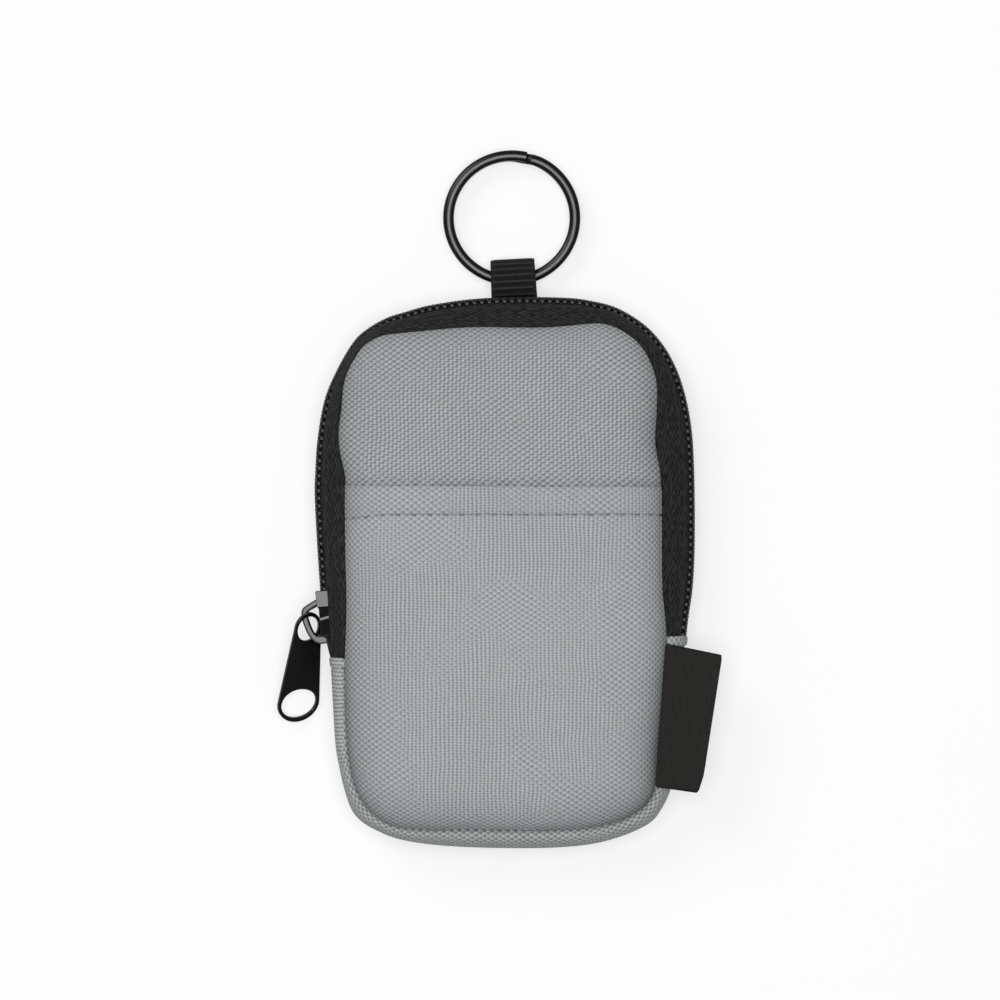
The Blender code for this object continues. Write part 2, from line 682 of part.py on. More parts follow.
def make_label(material):
    top_seam = loop_point(PANEL_LOOP, side_position(PANEL_LOOP, LABEL_TOP_Y, 1))
    end_seam = loop_point(PANEL_LOOP, side_position(PANEL_LOOP, LABEL_END_Y, 1))
    top_x = top_seam.x + LABEL_CLEARANCE
    end_x = end_seam.x + LABEL_CLEARANCE
    far_top = (top_x + LABEL_WIDTH, LABEL_TOP_Y - LABEL_SLANT)
    lean = (end_x - top_x) / (LABEL_END_Y - LABEL_TOP_Y)
    cut_y = LABEL_END_Y + LABEL_CORNER_CUT - LABEL_SLANT / 2
    far_cut = (top_x + LABEL_WIDTH + lean * (cut_y - LABEL_TOP_Y), cut_y)
    end_slant = LABEL_SLANT * LABEL_END_SLANT_SHARE
    far_end = (end_x + LABEL_WIDTH * LABEL_END_WIDTH_SHARE, LABEL_END_Y - end_slant)
    points = [(top_x, LABEL_TOP_Y), far_top, far_cut, far_end, (end_x, LABEL_END_Y)]
    label = prism("side_label", points, FRONT_SEAM_HEIGHT + CLEARANCE, LABEL_THICKNESS)
    move_to(label, PARTS)
    label.data.materials.append(material)


def make_pivot(name, place, pieces):
    """An empty on a joint's axis, which carries the pieces that the joint moves."""
    pivot = bpy.data.objects.new(name, None)
    pivot.location = place
    PARTS.objects.link(pivot)
    bpy.context.view_layer.update()
    for piece in pieces:
        piece.parent = pivot
        piece.matrix_parent_inverse = pivot.matrix_world.inverted()


def make_pivots():
    outer_face = front_height(FRONT_CROWN_RUN, -(CLEARANCE + FABRIC))
    objects = bpy.data.objects
    opening = [obj for obj in PARTS.objects if obj.name.endswith("_upper")]
    opening += [objects["zip_tape_front"], objects["zip_coil_front"]]
    make_pivot("front_pivot", (0, FOLD_Y, outer_face), opening)
    puller_place = slider_frame() @ Vector((-PULLER_PIVOT_OUT, -PULLER_PIVOT_DOWN, 0))
    make_pivot("puller_pivot", puller_place, [objects["puller"]])
    ring_place = (LOOP_CENTRE_X, RING_WIRE_Y + RING_PIVOT_SHIFT, RING_HEIGHT)
    make_pivot("ring_pivot", ring_place, [objects["split_ring"]])
    seam = loop_point(PANEL_LOOP, side_position(PANEL_LOOP, LABEL_TOP_Y, 1))
    label_height = FRONT_SEAM_HEIGHT + CLEARANCE + LABEL_THICKNESS
    make_pivot("label_pivot", (seam.x + LABEL_CLEARANCE, LABEL_TOP_Y, label_height), [objects["side_label"]])


def main():
    made = [make_material(name, *look) for name, look in MATERIALS.items()]
    fabric, lining, foam, tape, coil, metal = made
    front_depth = make_front_layers(fabric, foam, lining)
    back_depth = make_back_layers(fabric, foam, lining)
    make_zip(tape, coil)
    make_gusset(fabric, lining)
    make_bindings(front_depth, back_depth, tape)
    make_slider(metal)
    make_puller(metal)
    make_webbing_loop(tape)
    make_split_ring(metal)
    make_label(tape)
    make_pivots()


for old in list(bpy.data.objects):
    bpy.data.objects.remove(old, do_unlink=True)
PARTS = bpy.data.collections.new("Pouch")
CUTTERS = bpy.data.collections.new("Cutters")
for made in (PARTS, CUTTERS):
    bpy.context.scene.collection.children.link(made)
main()
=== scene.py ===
"""Looks of a small zip pouch with a split key ring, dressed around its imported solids.

Shapes are worked out in millimetres and written to meshes in metres.
"""

import math

import bmesh
import bpy
import numpy as np
from mathutils import Matrix, Vector
from mathutils.bvhtree import BVHTree


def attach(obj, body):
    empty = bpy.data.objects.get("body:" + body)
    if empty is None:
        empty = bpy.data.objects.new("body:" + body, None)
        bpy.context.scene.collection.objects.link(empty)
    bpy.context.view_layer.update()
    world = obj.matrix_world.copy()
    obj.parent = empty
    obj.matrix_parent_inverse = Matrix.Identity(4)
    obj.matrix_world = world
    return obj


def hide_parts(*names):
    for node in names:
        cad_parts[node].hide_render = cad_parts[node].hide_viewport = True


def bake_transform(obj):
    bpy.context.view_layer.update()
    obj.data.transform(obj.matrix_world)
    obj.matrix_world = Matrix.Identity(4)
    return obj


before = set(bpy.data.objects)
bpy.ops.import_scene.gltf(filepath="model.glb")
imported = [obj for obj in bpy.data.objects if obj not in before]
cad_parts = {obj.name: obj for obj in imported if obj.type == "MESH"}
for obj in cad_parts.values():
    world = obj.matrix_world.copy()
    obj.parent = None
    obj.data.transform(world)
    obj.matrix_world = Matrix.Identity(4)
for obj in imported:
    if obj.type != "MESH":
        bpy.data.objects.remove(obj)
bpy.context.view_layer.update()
MM = 0.001

# Outlines of the panels at their seams and of the zip ridge, in thousandths of half width and half length
PANEL_HALF = (34.7, 55.0)
RIDGE_HALF = (41.5, 60.5)
PANEL_SHARES = (
    (83, 978), (306, 981), (546, 994), (634, 991), (723, 970), (827, 923), (902, 857), (952, 764),
    (955, 650), (945, 540), (958, 467), (977, 400), (982, 300), (983, 50), (987, -70), (1005, -180),
    (1013, -260), (1010, -350), (985, -540), (955, -720), (940, -850), (890, -915), (800, -960),
    (670, -993), (470, -1015), (140, -1020), (-240, -1018), (-500, -1018), (-670, -1008), (-790, -978),
    (-880, -925), (-940, -860), (-980, -760), (-1000, -640), (-1010, -400), (-1002, -200), (-1000, -90),
    (-1006, 60), (-1010, 260), (-1010, 371), (-1022, 419), (-1040, 467), (-1051, 515), (-1052, 570),
    (-1036, 650), (-1022, 745), (-996, 802), (-957, 849), (-905, 898), (-850, 924), (-767, 947),
    (-514, 965), (-215, 980),
)
RIDGE_SHARES = (
    (40, 999), (310, 997), (450, 986), (590, 960), (730, 902), (825, 834), (893, 756), (943, 664),
    (978, 553), (994, 440), (1001, 260), (1000, 75), (989, -58), (966, -170), (947, -300), (942, -386),
    (931, -531), (918, -660), (878, -784), (828, -857), (765, -908), (632, -952), (460, -984), (240, -998),
    (-30, -999), (-270, -993), (-440, -982), (-585, -962), (-688, -932), (-757, -904), (-812, -862),
    (-851, -791), (-878, -712), (-901, -620), (-916, -459), (-928, -325), (-956, -227), (-985, 19),
    (-1005, 265), (-1003, 360), (-991, 483), (-954, 626), (-889, 734), (-808, 830), (-740, 878),
    (-632, 922), (-525, 946), (-396, 970), (-187, 991),
)
# The ridge was measured as if it lay at the panel's height, and it lies lower, so it is spread a little
VIEW_CENTRE = np.array([-1.2, 16.05])
RIDGE_SPREAD = 1.0060
RIDGE_SHIFT = (-0.07, 0.05)

# Heights above the table of the front's seam and of the zip's middle
FRONT_SEAM = 17.4
MIDDLE = 9.5

# Places along the pouch, where y runs up the photograph
POCKET_MOUTH = 19.3
HEM_STITCH = 12.8
ZIP_LEFT_END = -18.3
ZIP_RIGHT_END = -13.9
TEETH_LEFT_END = -13.6

# How far the stitches dip at their left end, and how much of the gusset's ends is folded back
HEM_DIP = 0.8
HEM_FOLD = 2.45

# Points across the covers' grids and along the side wall's strips
FRONT_GRID = 96
BACK_GRID = 84
POCKET_GRID = 110
LABEL_GRID = 44
GUSSET_STEPS = 26
WALL_STEPS = 420


# Curves and outlines


def reaches(line):
    """How far along an open line each of its points lies."""
    return np.concatenate([[0], np.cumsum(np.linalg.norm(np.diff(line, axis=0), axis=1))])


def tangents(line):
    """Unit directions along an open line at each of its points."""
    along = np.gradient(line, axis=0)
    return along / np.linalg.norm(along, axis=1)[:, None]


def sideways(line):
    """Unit directions to the right of an open line at each of its points."""
    along = tangents(line)
    return np.column_stack([along[:, 1], -along[:, 0]])


def evenly(points, count, closed=False):
    """The same line as count points at equal steps along it."""
    line = np.vstack([points, points[:1]]) if closed else points
    along = reaches(line)
    places = np.linspace(0, along[-1], count, endpoint=not closed)
    return np.stack([np.interp(places, along, line[:, k]) for k in range(line.shape[1])], 1)


def smooth_through(points, closed=False, steps=10):
    """Points on a Catmull-Rom curve through the given ones."""
    p = np.array(points, float)
    if closed:
        before, start, end, after = (np.roll(p, k, 0) for k in (1, 0, -1, -2))
    else:
        wide = np.vstack([p[:1], p, p[-1:]])
        before, start, end, after = wide[:-3], wide[1:-2], wide[2:-1], wide[3:]
    t = np.linspace(0, 1, steps, endpoint=False)[:, None, None]
    bend = 2 * before - 5 * start + 4 * end - after
    curl = 3 * start - 3 * end + after - before
    line = (2 * start + t * (end - before) + t * t * bend + t**3 * curl) / 2
    line = line.transpose(1, 0, 2).reshape(-1, p.shape[1])
    return line if closed else np.vstack([line, p[-1:]])


def outline(shares, half, count=720):
    """Counter-clockwise closed outline in millimetres."""
    return evenly(smooth_through(np.array(shares) / 1000 * half, True), count, True)[::-1]


def bell(away, width):
    """1 at the middle, fading to 0 on both sides."""
    return np.exp(-((away / width) ** 2))


def ellipse(half_width, half_height, count):
    turns = np.linspace(0, 2 * math.pi, count, endpoint=False)
    return np.column_stack([half_width * np.cos(turns), half_height * np.sin(turns)])


def outward(loop):
    """Unit normals of a counter-clockwise closed line."""
    along = np.roll(loop, -1, 0) - np.roll(loop, 1, 0)
    normal = np.stack([along[:, 1], -along[:, 0]], 1)
    return normal / np.linalg.norm(normal, axis=1)[:, None]


def nearest(points, loop):
    """(distance, outward direction) from each point to the nearest place on a closed line."""
    start, step = loop, np.roll(loop, -1, 0) - loop
    lengths = (step**2).sum(1)
    spans = []
    for part in np.array_split(points, max(1, len(points) // 2000)):
        away = part[:, None] - start
        share = np.clip((away * step).sum(2) / lengths, 0, 1)
        reach = np.linalg.norm(away - share[..., None] * step, axis=2)
        best = reach.argmin(1)
        spans.append(np.stack([reach[np.arange(len(part)), best], best], 1))
    found = np.vstack(spans)
    return found[:, 0], outward(loop)[found[:, 1].astype(int)]


PANEL = outline(PANEL_SHARES, PANEL_HALF)
RIDGE = outline(RIDGE_SHARES, RIDGE_HALF)
RIDGE = VIEW_CENTRE + (RIDGE - VIEW_CENTRE) * RIDGE_SPREAD + RIDGE_SHIFT


def seam_of(points):
    """For each point of the ridge, the panel's seam nearest to it, evened out along the line."""
    distance, normal = nearest(points, PANEL)
    reach = points - normal * distance[:, None]
    for _ in range(12):
        middle = (np.roll(reach, 1, 0) + 2 * reach + np.roll(reach, -1, 0)) / 4
        middle[0], middle[-1] = reach[0], reach[-1]
        reach = middle
    return reach


def crossing(loop, y, side):
    """Index of the loop's point on its left (-1) or right (1) side nearest to a height."""
    wrong = loop[:, 0] * side < 0
    return int(np.argmin(abs(loop[:, 1] - y) + wrong * 1e6))


def stretch(loop, first, last):
    """The loop's points from one index to another, counter-clockwise."""
    count = (last - first) % len(loop) + 1
    return loop[(first + np.arange(count)) % len(loop)]


# Meshes


def linked(name, data):
    """A new object in the scene."""
    made = bpy.data.objects.new(name, data)
    bpy.context.scene.collection.objects.link(made)
    return made


def new_object(name, verts, faces, materials, uv=None, slots=None, shade=None):
    """A smooth mesh object from points in millimetres; shade is the painted shade of its cloth at each point.
    """
    mesh = bpy.data.meshes.new(name)
    mesh.from_pydata((np.array(verts, float) * MM).tolist(), [], [list(f) for f in faces])
    for material in materials:
        mesh.materials.append(material)
    if slots is not None:
        mesh.polygons.foreach_set("material_index", np.array(slots, np.int32))
    if uv is not None:
        layer = mesh.uv_layers.new(name="cloth")
        corner = np.zeros(len(mesh.loops), np.int32)
        mesh.loops.foreach_get("vertex_index", corner)
        layer.data.foreach_set("uv", np.array(uv, np.float32)[corner].ravel())
    if shade is not None:
        layer = mesh.attributes.new("seam_shade", "FLOAT", "POINT")
        layer.data.foreach_set("value", np.array(shade, np.float32))
    mesh.validate()
    mesh.shade_smooth()
    return linked(name, mesh)


def grid_faces(rows, columns, start=0, around=False, flip=False):
    """Quads over a grid of points stored row by row; around joins the last column to the first."""
    r = np.arange(rows - 1)[:, None]
    c = np.arange(columns if around else columns - 1)[None, :]
    d = (c + 1) % columns
    low, high = r * columns, (r + 1) * columns
    quads = np.stack([low + c, low + d, high + d, high + c], -1).reshape(-1, 4) + start
    return quads[:, ::-1] if flip else quads


def band(first, second):
    """Quads between two closed rings of point indices."""
    return np.stack([first, second, np.roll(second, -1), np.roll(first, -1)], 1)


def border(n):
    """Indices of an n by n grid's outer points, counter-clockwise from its lower left corner."""
    index = np.arange(n * n).reshape(n, n)
    return np.concatenate([index[0, :-1], index[:-1, -1], index[-1, :0:-1], index[:0:-1, 0]])


def patch(loop, centre, count, grade=1.35):
    """A square grid of points spread over the inside of an outline, closer together near its edge."""
    a = np.linspace(-1, 1, count)
    a = np.sign(a) * (1 - (1 - abs(a)) ** grade)
    x, y = np.meshgrid(a, a)
    u, v = x * np.sqrt(1 - y * y / 2), y * np.sqrt(1 - x * x / 2)
    half = np.ptp(loop, axis=0) / 2
    away = (loop - centre) / half
    angle = np.arctan2(away[:, 1], away[:, 0])
    order = np.argsort(angle)
    reach = np.interp(np.arctan2(v, u), angle[order], np.hypot(*away.T)[order], period=2 * math.pi)
    spread = np.stack([u * reach, v * reach], -1).reshape(-1, 2)
    return centre + spread * half


def tube_of(rows, close_ends=True):
    """Vertices and faces of a tube whose rows of points are rings."""
    rows = np.array(rows)
    count, around = rows.shape[:2]
    faces = grid_faces(count, around, around=True).tolist()
    if close_ends:
        faces += [list(range(around))[::-1], list(range((count - 1) * around, count * around))]
    return rows.reshape(-1, 3), faces


def sweep_rows(name, rows, materials, uv=None, close_ends=True):
    return new_object(name, *tube_of(rows, close_ends), materials, uv)


def joined(pieces):
    """Vertices and faces of several meshes as one."""
    verts, faces, start = [], [], 0
    for points, polygons in pieces:
        verts.append(points)
        faces += [[v + start for v in face] for face in polygons]
        start += len(points)
    return np.vstack(verts), faces


# Materials


def linear(*srgb):
    """Linear colour from sRGB values out of 255."""
    return tuple(((c / 255 + 0.055) / 1.055) ** 2.4 if c > 10 else c / 255 / 12.92 for c in srgb) + (1,)


class Look:
    """A procedural material being put together node by node."""

    def __init__(self, name, roughness=0.9, specular=0.3):
        self.material = bpy.data.materials.new(name)
        self.material.use_nodes = True
        self.tree = self.material.node_tree
        self.shader = self.tree.nodes["Principled BSDF"]
        self.shader.inputs["Roughness"].default_value = roughness
        self.shader.inputs["Specular IOR Level"].default_value = specular

    def node(self, kind, **settings):
        made = self.tree.nodes.new("ShaderNode" + kind)
        for key, value in settings.items():
            setattr(made, key, value)
        return made

    def feed(self, socket, value):
        if isinstance(value, bpy.types.NodeSocket):
            self.tree.links.new(value, socket)
        else:
            socket.default_value = value

    def filled(self, node, *values):
        """The node's first output once its inputs are fed."""
        for socket, value in zip(node.inputs, values):
            self.feed(socket, value)
        return node.outputs[0]

    def given(self, node, **values):
        """The node's first output once its named inputs are fed."""
        for name, value in values.items():
            self.feed(node.inputs[name], value)
        return node.outputs[0]

    def math(self, operation, *values, clamp=False):
        return self.filled(self.node("Math", operation=operation, use_clamp=clamp), *values)

    def plus(self, first, second, clamp=False):
        return self.math("ADD", first, second, clamp=clamp)

    def times(self, first, second):
        return self.math("MULTIPLY", first, second)

    def scaled(self, value, factor, offset, clamp=False):
        return self.math("MULTIPLY_ADD", value, factor, offset, clamp=clamp)

    def wave(self, place, period, shift=0.0):
        """Sine of a place in millimetres, one turn to a period."""
        return self.math("SINE", self.scaled(place, 2 * math.pi / period, shift))

    def span(self, value, low, high, start=0.0, end=1.0):
        """Goes smoothly from start to end as the value goes from low to high."""
        made = self.node("MapRange", interpolation_type="SMOOTHSTEP")
        return self.filled(made, value, low, high, start, end)

    def mix(self, share, first, second):
        made = self.node("Mix", data_type="RGBA")
        for socket, value in zip((made.inputs[0], made.inputs[6], made.inputs[7]), (share, first, second)):
            self.feed(socket, value)
        return made.outputs[2]

    def cloth(self):
        """Places along and across the cloth, in millimetres."""
        layer = self.node("UVMap", uv_map="cloth")
        apart = self.node("SeparateXYZ")
        self.feed(apart.inputs[0], layer.outputs[0])
        return apart.outputs[0], apart.outputs[1], layer.outputs[0]

    def noise(self, place, scale, detail=2.0, stretch=(1, 1, 1)):
        stretched = self.given(self.node("Mapping"), Scale=stretch, Vector=place)
        return self.given(self.node("TexNoise"), Vector=stretched, Scale=scale, Detail=detail)

    def finish(self, colour, height=None, depth=0.0001, roughness=None):
        """Joins the colour, the roughness and a bump of the given depth in metres to the shader."""
        self.feed(self.shader.inputs["Base Color"], colour)
        if roughness is not None:
            self.feed(self.shader.inputs["Roughness"], roughness)
        if height is not None:
            bump = self.given(self.node("Bump"), Strength=1.0, Distance=depth, Height=height)
            self.feed(self.shader.inputs["Normal"], bump)
        return self.material


def plain_weave(
    name, light, dark, stripe=0.28, rib=0.20, checker=0.07, slant=0.0, hem=None, warp=0.876, weft=0.617
):
    """Coarse plain-woven yarn: warp and weft swell by turns, and one diagonal may stand out.

    Columns and rows show in the middle of a panel, and checks where the cloth turns down to its seam.
    warp and weft are the yarns' pitches in millimetres, and hem the height of a line of stitches.
    """
    look = Look(name, 0.92, 0.25)
    u, v, place = look.cloth()
    u = look.plus(u, look.scaled(look.noise(place, 0.07), 1.6, -0.8))
    v = look.scaled(look.noise(place, 0.06, 1.0, (1, 1.3, 1)), 2.4, v)
    columns, rows = look.wave(u, warp), look.wave(v, weft)
    turns = look.times(look.wave(u, 2 * warp), look.wave(v, 2 * weft))
    diagonal = look.wave(look.scaled(u, -weft / warp, v), 2 * weft)
    slub = look.noise(place, 1.9, 2.0, (1, 0.14, 1))
    tone = look.noise(place, 0.035, 3.0)
    shade = look.node("Attribute", attribute_name="seam_shade").outputs["Fac"]
    checked = look.span(look.scaled(shade, 1.6, look.noise(place, 0.05, 1.0)), 0.46, 0.66)
    share = 0.5
    swells = ((columns, stripe, -0.8 * stripe), (rows, rib, -0.7 * rib), (turns, checker, 0.42))
    for yarn, most, change in swells:
        share = look.scaled(yarn, look.scaled(checked, change, most), share)
    share = look.scaled(diagonal, slant, share)
    share = look.plus(share, look.scaled(slub, 0.30, -0.15))
    share = look.plus(share, look.scaled(tone, 0.16, -0.08), clamp=True)
    height = look.scaled(look.plus(columns, rows), 0.35, turns)
    if hem is not None:
        along, across, _ = look.cloth()
        across = look.plus(across, look.span(along, -24.0, -36.0, 0.0, HEM_DIP))
        away = look.math("DIVIDE", look.math("SUBTRACT", across, hem), 0.24)
        line = look.math("EXPONENT", look.times(look.times(away, away), -1.0))
        dash = look.span(look.wave(along, 3.5), 0.35, 0.6, 0.12, 0.46)
        # The line of stitches adds painted shade in dashes along its groove.
        shade = look.scaled(line, dash, shade)
        height = look.scaled(line, -2.5, height)
    # The seam_shade attribute, and the line of stitches, mix black into the weave as painted shade.
    colour = look.mix(shade, look.mix(share, dark, light), (0, 0, 0, 1))
    return look.finish(colour, height, 0.00006)


def twill_tape(name, light, dark, turn=7.3, plain=4.9):
    """Woven zip tape: a plain band beside the teeth, then steep ribs that turn back and fade.

    plain and turn are the distances from the teeth, in millimetres, at which the ribs start and turn.
    """
    look = Look(name, 0.85, 0.3)
    u, v, place = look.cloth()
    away = look.math("ABSOLUTE", look.math("SUBTRACT", v, turn))
    slant = look.scaled(away, -2.1, u)
    fading = look.span(v, turn, turn + 0.8, 1.0, 0.5)
    woven = look.times(look.span(v, plain, plain + 0.3), fading)
    rib = look.times(look.wave(slant, 1.9), woven)
    thread = look.wave(v, 0.42)
    grain = look.noise(place, 1.1, 3.0, (0.5, 1.4, 1))
    height = look.scaled(thread, 0.25, rib)
    share = look.scaled(grain, 2.2, -0.68)
    share = look.scaled(woven, -0.12, share)
    share = look.scaled(rib, 0.36, share, clamp=True)
    return look.finish(look.mix(share, dark, light), height, 0.00010)


def ribbed_webbing(name, light, dark, pitch=1.38):
    """Grosgrain: ribs across the webbing and a bound edge along each side."""
    look = Look(name, 0.85, 0.3)
    u, v, place = look.cloth()
    rib = look.wave(u, pitch)
    edge = look.span(look.math("ABSOLUTE", v), 3.9, 4.3)
    fine = look.wave(v, 0.5)
    bound = look.wave(u, 0.55)
    swell = look.plus(rib, look.times(fine, 0.25))
    height = look.mix(edge, swell, bound)
    lit = look.span(rib, 0.2, 1.0)
    share = look.times(lit, look.scaled(look.noise(place, 1.1), 0.6, 0.25))
    share = look.math("MAXIMUM", share, look.times(edge, look.span(bound, 0.0, 1.0, 0.05, 0.45)))
    return look.finish(look.mix(share, dark, light), height, 0.00012)


def satin(name, light, dark):
    look = Look(name, 0.5, 0.15)
    u, v, place = look.cloth()
    thread = look.wave(v, 0.30)
    cross = look.wave(u, 0.95, 0.6)
    grain = look.noise(place, 0.8, 3.0, (0.35, 1.6, 1))
    share = look.scaled(thread, 0.12, grain, clamp=True)
    height = look.scaled(cross, 0.15, thread)
    return look.finish(look.mix(share, dark, light), height, 0.00003)


def lining_cloth(name, light, dark):
    look = Look(name, 0.8, 0.3)
    u, v, place = look.cloth()
    cross = look.times(look.wave(u, 0.42), look.wave(v, 0.42))
    tone = look.noise(place, 0.06, 3.0)
    share = look.scaled(cross, 0.25, tone, clamp=True)
    return look.finish(look.mix(share, dark, light), cross, 0.00003)


def enamel(name, colour, roughness, specular, wear=0.12):
    """Black lacquered metal with faint unevenness in its gloss."""
    look = Look(name, roughness, specular)
    place = look.node("TexCoord").outputs["Object"]
    grain = look.noise(place, 900.0, 3.0)
    rough = look.scaled(grain, wear, roughness - wear / 2)
    shade = look.mix(look.noise(place, 250.0), colour, tuple(1.5 * c for c in colour[:3]) + (1,))
    return look.finish(shade, look.noise(place, 400.0), 0.000012, rough)


YARNS = (linear(181, 185, 186), linear(119, 124, 125))
POCKET_YARNS = (linear(187, 191, 192), linear(128, 133, 134))
SIDE_YARNS = (linear(196, 200, 200), linear(114, 118, 119))
GREY = plain_weave("grey_fabric", *YARNS, slant=0.22)
POCKET_GREY = plain_weave("grey_pocket_fabric", *POCKET_YARNS, 0.34, 0.18, 0.07, hem=HEM_STITCH)
SIDE_GREY = plain_weave("grey_side_fabric", *SIDE_YARNS, 0.34, 0.14, 0.12)
LINING = lining_cloth("grey_lining", linear(122, 127, 128), linear(84, 89, 90))
TAPE = twill_tape("black_tape", linear(52, 52, 49), linear(2, 2, 2))
BINDING = twill_tape("black_binding", linear(55, 55, 52), linear(3, 3, 3), 1.5, -1.0)
WEBBING = ribbed_webbing("black_webbing", linear(62, 62, 60), linear(9, 9, 8))
SATIN = satin("black_satin", linear(41, 40, 37), linear(21, 20, 19))
TEETH = enamel("black_coil", linear(8, 8, 8), 0.40, 0.30)
METAL = enamel("black_metal", linear(8, 8, 7), 0.20, 0.37)
RING_METAL = enamel("black_ring_metal", linear(8, 8, 7), 0.25, 0.40)


# Padded front, slip pocket and padded back


def edge_waves(x, y, distance, reach, size):
    """Slight puckers that run in from the seam and fade."""
    ripple = np.sin(x / 2.9 + 0.7 * np.sin(y / 5.3)) * np.sin(y / 3.3 + 0.9 * np.sin(x / 6.1))
    ripple += 0.6 * np.sin((x - y) / 4.7 + 1.3)
    return size * ripple * np.exp(-distance / reach)


def seam_shade(distance, depth=0.27, reach=2.9):
    """Painted shade: how much darker the cloth is drawn where it turns down towards its seam."""
    distance = np.clip(distance, 0, None)
    return depth * np.exp(-distance / reach) + 0.16 * np.exp(-distance / 0.7)


def front_shade(x, y, distance):
    """Painted shade on the front: least along its top seam, most along its lower sides."""
    top = 1 - 0.45 * np.clip((y - 35) / 15, 0, 1)
    low = 0.205 * (1 + 0.31 * x / 33) * (x / 33) ** 2
    low = low * np.exp(-np.clip(distance, 0, None) / 7.0) / (1 + np.exp((y + 18) / 6))
    return seam_shade(distance) * top * (1 + 0.16 * np.clip(x / 33, 0, 1)) + low


SWELL_COUNT = 56
SWELL_SCALE = 10
SWELL_FRAMES = 20
SWELL_CROWN = 0.55
SWELL_PUCKER = 0.12


def swelling():
    """Height of the front cloth over its foam, sewn down all round, from a cloth simulation.

    The sheet is cut a little larger than its outline, so it puckers along the seam as it swells.
    It is simulated at ten times its size. Its crown is then scaled, and its puckers are capped.
    """
    grid = patch(PANEL, np.zeros(2), SWELL_COUNT, 1.0)
    faces = grid_faces(SWELL_COUNT, SWELL_COUNT)
    flat = np.column_stack([grid, np.zeros(len(grid))])
    sheet = new_object("swelling_sheet", flat * SWELL_SCALE, faces, [])
    sheet.vertex_groups.new(name="sewn").add(border(SWELL_COUNT).tolist(), 1.0, "REPLACE")
    cloth = sheet.modifiers.new("swell", "CLOTH")
    cloth.settings.quality = 6
    cloth.settings.tension_stiffness = cloth.settings.compression_stiffness = 15
    cloth.settings.shear_stiffness = 5
    cloth.settings.use_pressure = True
    cloth.settings.uniform_pressure_force = 4
    cloth.settings.shrink_min = -0.02
    cloth.settings.vertex_group_mass = "sewn"
    cloth.settings.effector_weights.gravity = 0
    cloth.point_cache.frame_start, cloth.point_cache.frame_end = 1, SWELL_FRAMES
    for step in range(1, SWELL_FRAMES + 1):
        bpy.context.scene.frame_set(step)
    made = sheet.evaluated_get(bpy.context.evaluated_depsgraph_get()).data
    places = np.empty(len(made.vertices) * 3, np.float32)
    made.vertices.foreach_get("co", places)
    bpy.data.objects.remove(sheet)
    bpy.context.scene.frame_set(1)
    height = places.reshape(SWELL_COUNT, SWELL_COUNT, 3)[:, :, 2] / MM / SWELL_SCALE
    crown = height.copy()
    for _ in range(30):
        crown[1:-1, 1:-1] = (crown[:-2, 1:-1] + crown[2:, 1:-1] + crown[1:-1, :-2] + crown[1:-1, 2:]) / 4
    pucker = np.clip(0.22 * (height - crown), -SWELL_PUCKER, SWELL_PUCKER)
    flat[:, 2] = (SWELL_CROWN * crown / crown.max() + pucker).ravel()
    return BVHTree.FromPolygons(flat.tolist(), faces.tolist())


SWOLLEN = swelling()


def swell(x, y):
    if SWOLLEN is None:
        return SWELL_CROWN * np.clip(1 - (x / 38) ** 2, 0, 1) * np.clip(1 - (y / 60) ** 2, 0, 1)
    down = Vector((0, 0, -1))
    hits = [SWOLLEN.ray_cast(Vector((a, b, 9)), down)[0] for a, b in zip(x.tolist(), y.tolist())]
    return np.array([hit.z if hit else 0.0 for hit in hits])


def front_top(x, y, distance, under_mouth=0.85):
    """Height of the padded front; it dips along the pocket's mouth by the given depth."""
    low = 1 / (1 + np.exp((y + 46) / 3.5))
    crown = (3.6 + 0.9 * low) * (1 - np.exp(-distance / (3.1 + 1.9 * low)))
    hollow = -under_mouth * bell(y - POCKET_MOUTH + 0.3, 1.35) * np.clip(distance / 3, 0, 1)
    return FRONT_SEAM + crown + swell(x, y) + hollow + edge_waves(x, y, distance, 3.2, 0.07)


def back_low(x, y, distance):
    """Height of the padded back's outer face, flat where it rests on the table."""
    return 1.5 * np.exp(-((distance / 2.2) ** 1.2))


